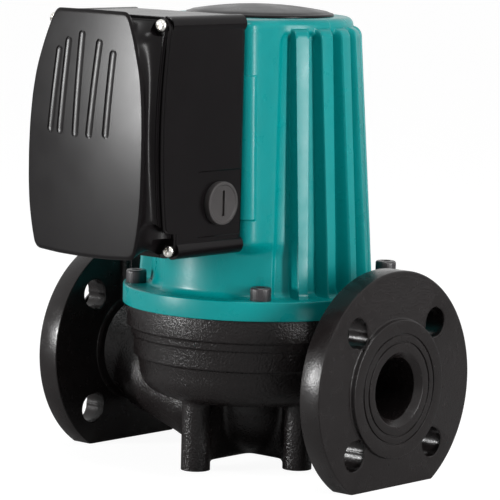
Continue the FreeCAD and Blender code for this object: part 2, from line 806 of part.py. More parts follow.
def slot_bar(name, index, width, inner, outer, low, high):
    """A radial bar through the core, turned to one of the slots."""
    feature = DOCUMENT.addObject("Part::Box", name)
    bind(feature, Length=outer - inner, Width=width, Height=high - low)
    turn = Rotation(UP, index * 360.0 / SLOT_COUNT)
    corner = turn.multVec(Vector(inner.value, -width.value / 2, low.value))
    feature.Placement = Placement(corner, turn)
    return feature


def motor_cap():
    """Blank domed cap that clips over the vent screw."""
    skirt = 1.5
    rise = D.cap_height - skirt
    dome_radius = (D.cap_radius.value ** 2 + rise.value ** 2) / (2 * rise.value)
    rim = cylinder("cap_rim", D.cap_radius, D.cap_height + 1, (0, 0, motor_top))
    dome = sphere("cap_dome", size(dome_radius), (0, 0, motor_top + D.cap_height - dome_radius))
    stem = tube("cap_stem", size(VENT_RADIUS + 6), size(VENT_RADIUS + 4.5), motor_top - 5, motor_top)
    hollow = cylinder("cap_hollow", size(VENT_RADIUS + 4.5), size(2), (0, 0, motor_top - 1))
    node("motor_cap", fuse("motor_cap", cut("cap_shell", common("cap_solid", rim, dome), hollow), stem))


# ---------------------------------------------------------------- rotor

def impeller():
    """Closed impeller: hub, two shrouds, inlet skirt and swept vanes."""
    back_top = impeller_back + D.shroud_thickness
    vane_low = front_shroud + D.shroud_thickness
    body = new_body("impeller_turned")
    revolve(body, "impeller_back_shroud", (
        (D.shaft_step_radius, hub_low),
        (HUB_RADIUS, hub_low + 6),
        (HUB_RADIUS + 3, impeller_back - 2),
        (HUB_RADIUS + 8, impeller_back),
        (D.impeller_radius, impeller_back),
        (D.impeller_radius, back_top),
        (D.shaft_step_radius, back_top),
    ))
    front = new_body("impeller_front_shroud")
    skirt_low = chamber_floor - D.wear_ring_height + 1
    revolve(front, "impeller_skirt", (
        (D.eye_radius, skirt_low),
        (D.skirt_radius, skirt_low),
        (D.skirt_radius, front_shroud - 2),
        (D.skirt_radius + 2, front_shroud),
        (D.impeller_radius, front_shroud),
        (D.impeller_radius, vane_low),
        (D.eye_radius + 2, vane_low),
        (D.eye_radius, vane_low - 2),
    ))
    vanes = []
    count = int(D.vane_count.value)
    for index in range(count):
        vanes.append(vane(index * 360.0 / count, vane_low - SHORT, impeller_back + SHORT))
    return node("impeller", fuse("impeller", body, front, *vanes))


VANE_THICKNESS = 2.6
VANE_SWEEP = 62.0


def vane(start, low, high):
    """One backward-swept vane: a curved wall between two arcs."""
    inner = D.eye_radius.value - 3
    outer = D.impeller_radius.value - 0.4

    def at(radius, share, offset):
        angle = math.radians(start - VANE_SWEEP * share)
        centre = Vector(radius * math.cos(angle), radius * math.sin(angle), low.value)
        side = Vector(-math.sin(angle), math.cos(angle), 0)
        return centre + side * offset

    middle = (inner + outer) / 2
    half = VANE_THICKNESS / 2
    one_side = [at(inner, 0, -half), at(middle, 0.6, -half), at(outer, 1, -half)]
    other_side = [at(outer, 1, half), at(middle, 0.6, half), at(inner, 0, half)]
    edges = [
        Part.Arc(*one_side).toShape(),
        Part.makeLine(one_side[2], other_side[0]),
        Part.Arc(*other_side).toShape(),
        Part.makeLine(other_side[2], one_side[0]),
    ]
    face = Part.Face(Part.Wire(edges))
    feature = DOCUMENT.addObject("Part::Feature", "vane")
    feature.Shape = face.extrude(Vector(0, 0, high.value - low.value))
    return feature


def shaft_and_core():
    """Shaft, laminated rotor core with its cage, sleeve, thrust ring and impeller nut."""
    back_top = impeller_back + D.shroud_thickness
    thrust_low = bush_low + D.bearing_length + 1
    shaft_top = can_top - 7
    nut_low = hub_low - 8.0
    lathe("shaft", (
        (0, nut_low),
        (D.shaft_step_radius, nut_low),
        (D.shaft_step_radius, back_top),
        (D.shaft_radius, back_top),
        (D.shaft_radius, shaft_top),
        (0, shaft_top),
    ))
    nut = hexagon("nut_body", 18.0, size(7), (0, 0, nut_low + 1))
    nut_bore = cylinder("nut_bore", D.shaft_step_radius, size(9), (0, 0, nut_low))
    node("impeller_nut", cut("impeller_nut", nut, nut_bore))
    node("rotor_core", tube("rotor_core", rotor_radius, D.shaft_radius, core_low, core_top))
    cage_inner = size(18.0)
    cage_height = 6.0
    rings = [
        tube("cage_lower", rotor_radius, cage_inner, core_low - cage_height, core_low),
        tube("cage_upper", rotor_radius, cage_inner, core_top, core_top + cage_height),
    ]
    node("cage_rings", group("cage_rings", rings))
    node("rotor_sleeve", tube("rotor_sleeve", sleeve_radius, rotor_radius,
                              core_low - cage_height, core_top + cage_height))
    collar_low = upper_bush_low() - THRUST_GAP - 5
    collars = [
        tube("lower_collar", size(13.0), D.shaft_radius, thrust_low, thrust_low + 5),
        tube("upper_collar", size(13.0), D.shaft_radius, collar_low, collar_low + 5),
    ]
    node("thrust_collars", group("thrust_collars", collars))


# ---------------------------------------------------------------- terminal box

BOX_SCREW_RADIUS = 2.5


def box_screw_places():
    """Screws that hold the box to the pad, as x and z."""
    for x in (-30.0, 30.0):
        for z in (box_low + 12, box_high - 16):
            yield size(x), z


def cover_screw_places():
    """Screws in the corners of the cover, as x and z."""
    inset = 6.0
    for x in (-D.box_half_width + inset, D.box_half_width - inset):
        for z in (box_low + inset, box_high - inset):
            yield x, z


def terminal_box():
    """Open-fronted box: shell, screw columns, cable entries and their flat recess."""
    half = D.box_half_width
    outside = round_edges("box_outside_rounded", block(
        "box_outside", (-half, -box_front, box_low), (half, -D.box_rear, box_high)), D.box_corner, FRONT)
    inside = block("box_inside", (-half + D.box_wall, -box_front - 1, box_low + D.box_wall),
                   (half - D.box_wall, -D.box_rear - D.box_wall, box_high - D.box_wall))
    shell = cut("box_shell", outside, inside)
    columns = []
    for x, z in cover_screw_places():
        columns.append(cylinder("screw_column", size(6), D.box_depth - D.box_wall,
                                (x, -D.box_rear - D.box_wall / 2, z), FRONT))
    columns_fitted = common("columns_fitted", fuse("columns", *columns), outside)
    solid = fuse("box_solid", shell, columns_fitted)
    tools = [cylinder("box_lead_way", D.lead_hole_radius, size(10),
                      (0, -D.box_rear + 2, lead_height()), FRONT)]
    for x, z in box_screw_places():
        tools.append(cylinder("base_screw_way", size(BOX_SCREW_RADIUS), size(6),
                              (x, -D.box_rear + 1, z), FRONT))
    for x, z in cover_screw_places():
        tools.append(cylinder("cover_screw_way", size(COVER_SCREW_RADIUS), size(14),
                              (x, -box_front + 12, z), FRONT))
    for direction in (LEFT, RIGHT):
        sign = direction.x
        tools.append(cylinder("entry", D.entry_radius, D.box_wall + 8,
                              ((half - D.box_wall - 4) * sign, -entry_depth, entry_height), direction))
    recess = 20.0
    tools.append(block("plug_recess", (half - 1, -entry_depth - recess, entry_height - recess),
                       (half + 2, -entry_depth + recess, entry_height + recess)))
    return node("terminal_box", cut("terminal_box", solid, *tools))


def box_fixings():
    """Gasket behind the box and the screws that hold it."""
    half = D.pad_half_width - 3
    sheet = block("gasket_sheet", (-half, -D.box_rear, box_low + 4), (half, -pad_front, box_high - 8))
    tools = [cylinder("gasket_lead_way", D.lead_hole_radius, size(8),
                      (0, -pad_front + 3, lead_height()), FRONT)]
    for x, z in box_screw_places():
        tools.append(cylinder("gasket_screw_way", size(BOX_SCREW_RADIUS + 0.2), size(8),
                              (x, -pad_front + 3, z), FRONT))
    node("box_gasket", cut("box_gasket", sheet, *tools))
    screws = []
    head_y = -D.box_rear - D.box_wall
    for index, (x, z) in enumerate(box_screw_places()):
        shank = cylinder("box_screw_shank", size(BOX_SCREW_RADIUS), size(13), (x, head_y + 13, z), FRONT)
        head = cylinder("box_screw_head", size(4.5), size(3), (x, head_y, z), FRONT)
        screws.append(fuse("box_screw{}".format(index), shank, head))
    node("box_screws", group("box_screws", screws))


COVER_SCREW_RADIUS = 2.0
COVER_SCREW_HEAD = 3.8
CROWN_LEDGE = 2.5                             # step from the rim in to the crown


def wedge(name, half, low, high, front, depth, inset):
    """Block that tapers towards the front by the same inset on its sides, top and bottom."""
    feature = DOCUMENT.addObject("Part::Wedge", name)
    bind(feature, Xmin=-half, Xmax=half, Ymin=0, Ymax=depth, Zmin=low, Zmax=high,
         X2min=-half + inset, X2max=half - inset, Z2min=low + inset / 2, Z2max=high - inset / 2)
    feature.Placement = Placement(Vector(0, -front.value, 0), Rotation(UP, 180))
    feature.setExpression("Placement.Base.y", (-front).text)
    return feature


def cover():
    """Crowned cover with a straight rim, corner ledges for its screws and a sealing lip."""
    half = D.box_half_width
    rim = round_edges("cover_rim_rounded", block(
        "cover_rim", (-half, -box_front - D.cover_rim, box_low),
        (half, -box_front, box_high)), D.box_corner, FRONT)
    crown = wedge("cover_crown", half - CROWN_LEDGE, box_low + CROWN_LEDGE, box_high - CROWN_LEDGE,
                  box_front + D.cover_rim - SHORT, D.cover_crown + SHORT, D.cover_inset)
    rim_hollow = block("rim_hollow", (-half + D.box_wall, -box_front - D.cover_rim, box_low + D.box_wall),
                       (half - D.box_wall, -box_front + 1, box_high - D.box_wall))
    wall = D.box_wall
    crown_hollow = wedge("crown_hollow", half - CROWN_LEDGE - wall, box_low + CROWN_LEDGE + wall,
                         box_high - CROWN_LEDGE - wall, box_front + D.cover_rim - 2 * SHORT,
                         D.cover_crown - wall, D.cover_inset)
    bosses = []
    tools = []
    ledge = 5.0
    for x, z in cover_screw_places():
        bosses.append(cylinder("cover_boss", size(6), size(ledge), (x, -box_front, z), FRONT))
        tools.append(cylinder("screw_pocket", size(COVER_SCREW_HEAD + 2.7), size(40),
                              (x, -box_front - ledge, z), FRONT))
        tools.append(cylinder("screw_way", size(COVER_SCREW_RADIUS), size(ledge + 2),
                              (x, -box_front + 1, z), FRONT))
    shell = cut("cover_shell", fuse("cover_solid", rim, crown), rim_hollow, crown_hollow)
    pocket_walls = pocket_liners(ledge)
    outline = fuse("cover_outline", rim, crown)
    inner = common("cover_bosses_fitted", fuse("cover_bosses", *bosses, *pocket_walls), outline)
    return node("terminal_cover", cut("terminal_cover", fuse("cover_joined", shell, inner), *tools))


def pocket_liners(ledge):
    """Walls round the screw pockets that keep the cover closed."""
    liners = []
    for x, z in cover_screw_places():
        liners.append(cylinder("pocket_wall", size(COVER_SCREW_HEAD + 2.7 + 2), size(40),
                               (x, -box_front, z), FRONT))
    return liners


def cover_screws():
    """Pan-head screws in the corners of the cover."""
    ledge = 5.0
    head_y = -box_front - ledge
    screws = []
    for index, (x, z) in enumerate(cover_screw_places()):
        shank = cylinder("cover_screw_shank", size(COVER_SCREW_RADIUS - 0.02), size(ledge + 9),
                         (x, head_y + ledge + 9, z), FRONT)
        head = cylinder("cover_screw_head", size(COVER_SCREW_HEAD), size(2.6), (x, head_y, z), FRONT)
        across = block("cross_a", (x - 2.4, head_y - 4, z - 0.5), (x + 2.4, head_y - 1, z + 0.5))
        along = block("cross_b", (x - 0.5, head_y - 4, z - 2.4), (x + 0.5, head_y - 1, z + 2.4))
        solid = fuse("cover_screw_solid", shank, head)
        screws.append(cut("cover_screw{}".format(index), solid, across, along))
    node("cover_screws", group("cover_screws", screws))


def cable_entries():
    """Blanking plug on the right, cable gland on the left, each with its sealing ring."""
    half = D.box_half_width
    y = -entry_depth
    z = entry_height
    seat = half - 1
    shank = cylinder("plug_shank", D.entry_radius, D.box_wall + 4, (seat - D.box_wall - 4 + 1, y, z), RIGHT)
    head = cylinder("plug_head", D.plug_head_radius, size(3), (seat + 1, y, z), RIGHT)
    slot = block("plug_slot", (seat + 2, y - 1.2, z - 7), (seat + 6, y + 1.2, z + 7))
    node("blanking_plug", cut("blanking_plug", fuse("plug_solid", shank, head), slot))
    node("plug_seal", side_tube("plug_seal", D.plug_head_radius, D.entry_radius, seat, size(1), RIGHT))

    shank = cylinder("gland_shank", D.entry_radius, D.box_wall + 6, (-half + D.box_wall + 5, y, z), LEFT)
    hexed = hexagon("gland_hex", 30.0, size(6), (-half - 1, y, z), LEFT)
    throat = cylinder("gland_throat", size(12.2), size(12), (-half - 1, y, z), LEFT)
    way = cylinder("gland_way", D.gland_bore, size(60), (-half + 20, y, z), LEFT)
    seat_way = cylinder("gland_seat", size(9.0), size(10), (-half - 7, y, z), LEFT)
    node("gland_body", cut("gland_body", fuse("gland_solid", shank, hexed, throat), way, seat_way))
    node("gland_seal", side_tube("gland_seal", D.plug_head_radius, D.entry_radius, -half, size(1), LEFT))
    node("gland_insert", side_tube("gland_insert", size(9.0), D.gland_bore, -half - 7, size(7), LEFT))
    shell = fuse("nut_solid", hexagon("nut_hex", 28.0, size(9), (-half - 7.5, y, z), LEFT),
                 cone("nut_nose", 13.0, 9.5, size(7), (-half - 16.5, y, z), LEFT))
    nut_bore = cylinder("nut_thread", size(12.2), size(7), (-half - 7, y, z), LEFT)
    nose_bore = cylinder("nut_way", D.gland_bore, size(30), (-half, y, z), LEFT)
    node("gland_nut", cut("gland_nut", shell, nut_bore, nose_bore))


def side_tube(name, outer, inner, x, length, direction):
    """A ring round a cable entry."""
    base = (x, -entry_depth, entry_height)
    return cut(name, cylinder(name + "_outside", outer, length, base, direction),
               cylinder(name + "_inside", inner, length, base, direction))


def box_inside():
    """Terminal block and screws, earth screw, capacitor with clip, and the speed selector."""
    floor = -D.box_rear - D.box_wall
    block_low = box_low + 28
    body = block("block_body", (-32, floor - 20, block_low), (32, floor, block_low + 20))
    tools = []
    screws = []
    for index in range(6):
        x = -25.0 + 10.0 * index
        tools.append(cylinder("clamp_way", size(3), size(9), (x, floor - 12, block_low + 10), FRONT))
        screw = cylinder("clamp_screw", size(2.6), size(7), (x, floor - 12, block_low + 10), FRONT)
        slot = block("clamp_slot", (x - 3, floor - 20, block_low + 9.6),
                     (x + 3, floor - 18, block_low + 10.4))
        screws.append(cut("clamp_screw{}".format(index), screw, slot))
    node("terminal_block", cut("terminal_block", body, *tools))
    node("clamp_screws", group("clamp_screws", screws))

    earth_z = box_low + 14
    stud = cylinder("earth_stud", size(2), size(8), (0, floor, earth_z), FRONT)
    nut = hexagon("earth_nut", 7.0, size(3), (0, floor, earth_z), FRONT)
    node("earth_screw", fuse("earth_screw", stud, nut))

    can_z = box_high - 42
    can_y = floor - 18
    node("capacitor", round_capacitor(can_y, can_z))
    clip_low = (-6, can_y - 17, can_z - 17)
    clip = cut("clip_band", block("clip_block", clip_low, (6, floor, can_z + 17)),
               cylinder("clip_way", size(CAPACITOR_RADIUS), size(40), (-20, can_y, can_z), RIGHT))
    node("capacitor_clip", clip)

    module_low = block_low + 24
    module = block("module_body", (-18, floor - 34, module_low), (18, floor, module_low + 28))
    spindle_way = cylinder("spindle_way", size(KNOB_SPINDLE), size(12),
                           (0, floor - 26, module_low + 14), FRONT)
    node("speed_module", cut("speed_module", module, spindle_way))
    spindle = cylinder("knob_spindle", size(KNOB_SPINDLE - 0.05), size(12),
                       (0, floor - 27, module_low + 14), FRONT)
    head = cylinder("knob_head", size(11), size(9), (0, floor - 36, module_low + 14), FRONT)
    grip = block("knob_grip", (-2, floor - 50, module_low + 4), (2, floor - 44, module_low + 24))
    node("speed_knob", fuse("speed_knob", spindle, head, grip))


CAPACITOR_RADIUS = 14.0
KNOB_SPINDLE = 3.0


def round_capacitor(y, z):
    can = cylinder("capacitor_can", size(CAPACITOR_RADIUS), size(64), (-32, y, z), RIGHT)
    tags = [block("tag", (32, y - 5 + shift, z - 3), (38, y - 4 + shift, z + 3)) for shift in (0, 9)]
    return fuse("capacitor_solid", can, *tags)


# ---------------------------------------------------------------- build, check, export

def check_document():
    """Stop if anything failed to build."""
    for feature in DOCUMENT.Objects:
        if "Invalid" in feature.State or "Error" in feature.State:
            raise RuntimeError("{} failed: {}".format(feature.Name, feature.State))
    for feature in NODES:
        if feature.Shape.isNull() or not feature.Shape.isValid():
            raise RuntimeError("{} has a bad shape".format(feature.Label))


def export_nodes():
    os.makedirs("parts", exist_ok=True)
    for feature in NODES:
        feature.Shape.exportStep("parts/{}.step".format(feature.Label))
        print("{:18s} solids {:2d} volume {:10.1f}".format(
            feature.Label, len(feature.Shape.Solids), feature.Shape.Volume))


def main():
    volute_casing()
    casing_seals()
    bearing_plate()
    bushes()
    separating_can()
    bearing_holder()
    vent()
    motor_housing()
    motor_bolts()
    stator()
    motor_cap()
    impeller()
    shaft_and_core()
    terminal_box()
    box_fixings()
    cover()
    cover_screws()
    cable_entries()
    box_inside()
    DOCUMENT.recompute()
    check_document()
    export_nodes()


main()
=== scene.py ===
import json
import math

import bmesh
import bpy
import numpy as np
from bpy.props import FloatProperty, FloatVectorProperty, IntProperty, PointerProperty
from mathutils import Matrix, Vector


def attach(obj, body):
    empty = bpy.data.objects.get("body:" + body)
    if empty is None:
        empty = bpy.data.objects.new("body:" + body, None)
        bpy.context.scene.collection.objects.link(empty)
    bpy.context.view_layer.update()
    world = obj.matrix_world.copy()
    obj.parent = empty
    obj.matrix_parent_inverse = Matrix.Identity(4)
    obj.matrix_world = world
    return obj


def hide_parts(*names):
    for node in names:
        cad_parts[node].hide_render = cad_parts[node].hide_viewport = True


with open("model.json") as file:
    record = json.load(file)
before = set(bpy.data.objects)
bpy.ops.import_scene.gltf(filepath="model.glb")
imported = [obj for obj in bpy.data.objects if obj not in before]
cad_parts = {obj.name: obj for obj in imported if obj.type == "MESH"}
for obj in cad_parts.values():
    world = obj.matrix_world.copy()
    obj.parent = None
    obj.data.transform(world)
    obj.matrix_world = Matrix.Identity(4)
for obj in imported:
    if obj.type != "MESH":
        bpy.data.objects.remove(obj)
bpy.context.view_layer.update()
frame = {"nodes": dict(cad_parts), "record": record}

# Looks of an in-line circulating pump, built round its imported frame. Shape functions work in
# millimetres in the row frame: Z up the pump axis, X along the pipe out of the outlet flange,
# -Y towards the terminal box. Meshes are written in metres.

bl_info = {
    "name": "Circulating Pump",
    "version": (1, 0, 0),
    "blender": (4, 5, 0),
    "location": "View3D > Sidebar > Pump",
    "description": "Builds the visible pieces of a flanged circulating pump round its frame",
    "category": "Object",
}

MM = 0.001
AXES = {
    "+Z": ((1, 0, 0), (0, 1, 0), (0, 0, 1)),
    "+X": ((0, 1, 0), (0, 0, 1), (1, 0, 0)),
    "-X": ((0, -1, 0), (0, 0, 1), (-1, 0, 0)),
    "-Y": ((1, 0, 0), (0, 0, 1), (0, -1, 0)),
}


# Sizes and colours

def length(name, description, millimetres):
    """A length property, given in millimetres."""
    return FloatProperty(name=name, description=description, default=millimetres * MM,
                         min=0.0, subtype="DISTANCE", unit="LENGTH", precision=4)


def angle(name, description, degrees):
    """An angle property, given in degrees."""
    return FloatProperty(name=name, description=description, default=math.radians(degrees),
                         subtype="ANGLE", unit="ROTATION")


def colour(name, description, value):
    """A colour property, given as linear red, green and blue."""
    return FloatVectorProperty(name=name, description=description, default=value,
                               size=3, min=0.0, max=1.0, subtype="COLOR")


class PumpHousingSizes(bpy.types.PropertyGroup):
    fin_count: IntProperty(name="Fins", description="Cooling fins round the back", default=15, min=3, max=40)
    fin_pitch: angle("Fin pitch", "Angle from one fin to the next", 16.36)
    fin_low: length("Crest at the flange", "Half width of a fin's crest at its foot", 2.7)
    fin_high: length("Crest at the top", "Half width of a fin's crest at its upper end", 4.1)
    fin_flank: length("Flank", "Width of the sloping side of a fin", 2.2)
    groove_depth: length("Groove depth", "How far the grooves lie below the smooth wall", 3.0)
    root_fillet: length("Root fillet", "Fillet between the flange and the wall", 4.5)
    pad_front: length("Pad front", "Pump axis to the flat front that carries the terminal box", 66.0)
    shoulder_low: length("Shoulder half width, low", "Half width of the flat front at its lower end", 53.5)
    shoulder_high: length("Shoulder half width, high", "Half width of the flat front at the top", 50.5)
    ledge_rise: length("Ledge", "Height of the thin ledge on the shoulders beside the box", 0.9)


class PumpCastingSizes(bpy.types.PropertyGroup):
    voxel: length("Casting grain", "Cell size used to blend the casting", 1.4)
    smoothing: IntProperty(name="Fillet passes", description="Smoothing passes that round the casting",
                           default=9, min=0, max=40)
    edge: length("Machined edge", "Rounding of the flanges' edges", 1.2)
    hole_flare: length("Hole flare", "Chamfer round the flange holes", 0.6)


class PumpBoxSizes(bpy.types.PropertyGroup):
    wall: length("Wall", "Wall of the terminal box and its lid", 2.4)
    seam_bow: length("Seam bow", "How far the joint between box and lid bows forward", 6.5)
    lip: length("Lip", "Step of the lip beside the joint", 2.2)
    waist: length("Waist", "Depth of the hollow in the lid's sides", 3.6)
    groove_width: length("Groove width", "Width of the lid's upright grooves", 6.0)
    groove_depth: length("Groove depth", "Depth of the lid's upright grooves", 0.7)
    recess: length("Recess", "Half width of the square recess round the plug", 20.0)


class PumpFastenerSizes(bpy.types.PropertyGroup):
    bolt_radius: length("Bolt head radius", "Socket heads that hold the motor", 6.7)
    bolt_height: length("Bolt head height", "Socket heads that hold the motor", 8.5)
    screw_radius: length("Screw head radius", "Pan heads that hold the lid", 3.9)
    screw_height: length("Screw head height", "Pan heads that hold the lid", 2.7)
    turn_seed: IntProperty(name="Turn seed", description="Seed of the turn of each screw", default=4)


class PumpColours(bpy.types.PropertyGroup):
    coat: colour("Housing coat", "Powder coat of the motor housing", (0.0, 0.25, 0.25))
    iron: colour("Casting paint", "Paint of the casing and flanges", (0.009, 0.0072, 0.0072))
    plastic: colour("Box plastic", "Terminal box and lid", (0.0045, 0.0036, 0.004))
    cap: colour("Cap plastic", "Domed cap on the motor", (0.007, 0.006, 0.0066))
    bolt: colour("Bolt black", "Blackened socket heads", (0.02, 0.018, 0.02))
    zinc: colour("Zinc", "Bright screws", (0.78, 0.76, 0.72))
    plug: colour("Plug grey", "Blanking plug", (0.045, 0.041, 0.041))


# Meshes

def piece(name, points, faces):
    """A mesh object in the row frame, from points in millimetres."""
    mesh = bpy.data.meshes.new(name)
    mesh.from_pydata((np.asarray(points, float) * MM).tolist(), [], faces)
    mesh.update()
    made = bpy.data.objects.new(name, mesh)
    bpy.context.scene.collection.objects.link(made)
    return made


def outward(made):
    """Merges doubles and turns all faces of a closed mesh outwards."""
    work = bmesh.new()
    work.from_mesh(made.data)
    bmesh.ops.remove_doubles(work, verts=work.verts, dist=1e-7)
    bmesh.ops.recalc_face_normals(work, faces=work.faces)
    work.to_mesh(made.data)
    work.free()
    return made


def smooth(made, degrees=32.0):
    """Smooth shading with sharp edges kept above an angle."""
    made.data.shade_smooth()
    made.data.set_sharp_from_angle(angle=math.radians(degrees))
    return made


def settle(made):
    """Turns what the modifiers make into the object's own plain mesh."""
    graph = bpy.context.evaluated_depsgraph_get()
    graph.update()
    mesh = bpy.data.meshes.new_from_object(made.evaluated_get(graph))
    old = made.data
    made.modifiers.clear()
    made.data = mesh
    mesh.name = old.name
    bpy.data.meshes.remove(old)
    return made


def combine(made, tool, operation, solver="MANIFOLD"):
    """One boolean between two solids; the tool is used up."""
    modifier = made.modifiers.new(operation.title(), "BOOLEAN")
    modifier.operation = operation
    modifier.object = tool
    modifier.solver = solver
    before = len(made.data.polygons)
    settle(made)
    if len(made.data.polygons) < 4:
        raise RuntimeError("{}: {} with {} left nothing of {} faces".format(
            made.name, operation.lower(), tool.name, before))
    bpy.data.objects.remove(tool, do_unlink=True)
    return made


def cut(made, *tools):
    for tool in tools:
        combine(made, tool, "DIFFERENCE")
    return made


def unite(made, *others):
    for other in others:
        combine(made, other, "UNION")
    return made


def join(made, *others):
    """Puts the shells of several objects in one mesh, without a boolean."""
    work = bmesh.new()
    for source in (made, *others):
        work.from_mesh(source.data)
    work.to_mesh(made.data)
    work.free()
    for other in others:
        bpy.data.objects.remove(other, do_unlink=True)
    return made


def quads(rows, columns, closed=False):
    """Faces between rings that follow each other."""
    faces = []
    for row in range(rows if closed else rows - 1):
        low = row * columns
        high = ((row + 1) % rows) * columns
        for column in range(columns):
            after = (column + 1) % columns
            faces.append((low + column, low + after, high + after, high + column))
    return faces


def loft(name, rings, ends="fan"):
    """A closed solid through rings of equal length; its ends are fans, or it closes on itself."""
    rings = np.asarray(rings, float)
    rows, columns = rings.shape[:2]
    points = rings.reshape(-1, 3)
    faces = quads(rows, columns, closed=ends == "loop")
    if ends == "fan":
        points = np.vstack([points, rings[0].mean(0), rings[-1].mean(0)])
        start, last = rows * columns, (rows - 1) * columns
        for column in range(columns):
            after = (column + 1) % columns
            faces.append((start, after, column))
            faces.append((start + 1, last + column, last + after))
    return outward(piece(name, points, faces))


def soften(profile, size=0.6, steps=3, closed=True):
    """Rounds the corners of a profile; a point may give its own size as a third number."""
    count = len(profile)
    result = []
    for index, entry in enumerate(profile):
        here = np.array(entry[:2], float)
        own = entry[2] if len(entry) > 2 else size
        if own <= 0 or (not closed and index in (0, count - 1)):
            result.append(tuple(here))
            continue
        back = np.array(profile[index - 1][:2], float) - here
        ahead = np.array(profile[(index + 1) % count][:2], float) - here
        reach = min(own, 0.46 * np.linalg.norm(back), 0.46 * np.linalg.norm(ahead))
        start = here + back / np.linalg.norm(back) * reach
        end = here + ahead / np.linalg.norm(ahead) * reach
        for step in range(steps + 1):
            t = step / steps
            result.append(tuple((1 - t) ** 2 * start + 2 * t * (1 - t) * here + t * t * end))
    return result


def lathe(name, profile, axis="+Z", origin=(0, 0, 0), steps=96, ripple=None):
    """A turned solid. The profile is (radius, height): a loop, or from pole to pole at radius 0."""
    across, up, along = (np.array(v, float) for v in AXES[axis])
    angles = np.arange(steps) * (2 * np.pi / steps)
    points, faces, starts = [], [], []
    for radius, height in profile:
        starts.append((len(points), radius > 1e-9))
        if radius <= 1e-9:
            points.append(np.array(origin, float) + along * height)
            continue
        radii = radius * (ripple(angles) if ripple and 0 < height else np.ones(steps))
        for turn, reach in zip(angles, radii):
            points.append(np.array(origin, float) + along * height
                          + reach * (across * math.cos(turn) + up * math.sin(turn)))
    loop = all(round_ for _, round_ in starts)
    pairs = list(zip(starts, starts[1:] + (starts[:1] if loop else [])))
    for (low, low_ring), (high, high_ring) in pairs:
        for column in range(steps):
            after = (column + 1) % steps
            if low_ring and high_ring:
                faces.append((low + column, low + after, high + after, high + column))
            elif low_ring:
                faces.append((low + column, low + after, high))
            elif high_ring:
                faces.append((low, high + after, high + column))
    return outward(piece(name, points, faces))


def brick(name, low, high):
    """A plain block, used as a tool."""
    (x0, y0, z0), (x1, y1, z1) = low, high
    points = [(x, y, z) for z in (z0, z1) for x, y in ((x0, y0), (x1, y0), (x1, y1), (x0, y1))]
    faces = [(3, 2, 1, 0), (4, 5, 6, 7), (0, 1, 5, 4), (1, 2, 6, 5), (2, 3, 7, 6), (3, 0, 4, 7)]
    return piece(name, points, faces)


def rod(name, start, end, radius, end_radius=None, steps=64):
    """A round bar or cone between two points."""
    start, end = np.array(start, float), np.array(end, float)
    along = (end - start) / np.linalg.norm(end - start)
    helper = np.array((0, 1, 0)) if abs(along[1]) < 0.9 else np.array((1, 0, 0))
    across = np.cross(helper, along)
    across /= np.linalg.norm(across)
    up = np.cross(along, across)
    angles = np.arange(steps) * (2 * np.pi / steps)
    rings = []
    for centre, reach in ((start, radius), (end, end_radius or radius)):
        rings.append(centre + reach * (np.outer(np.cos(angles), across) + np.outer(np.sin(angles), up)))
    return loft(name, rings)


def ball(name, centre, radius, steps=48):
    profile = [(radius * math.sin(t), -radius * math.cos(t)) for t in np.linspace(0, np.pi, steps // 2 + 1)]
    profile[0], profile[-1] = (0, -radius), (0, radius)
    return lathe(name, profile, origin=centre, steps=steps)


def smoothstep(low, high, value):
    t = np.clip((value - low) / (high - low), 0, 1)
    return t * t * (3 - 2 * t)


# Materials

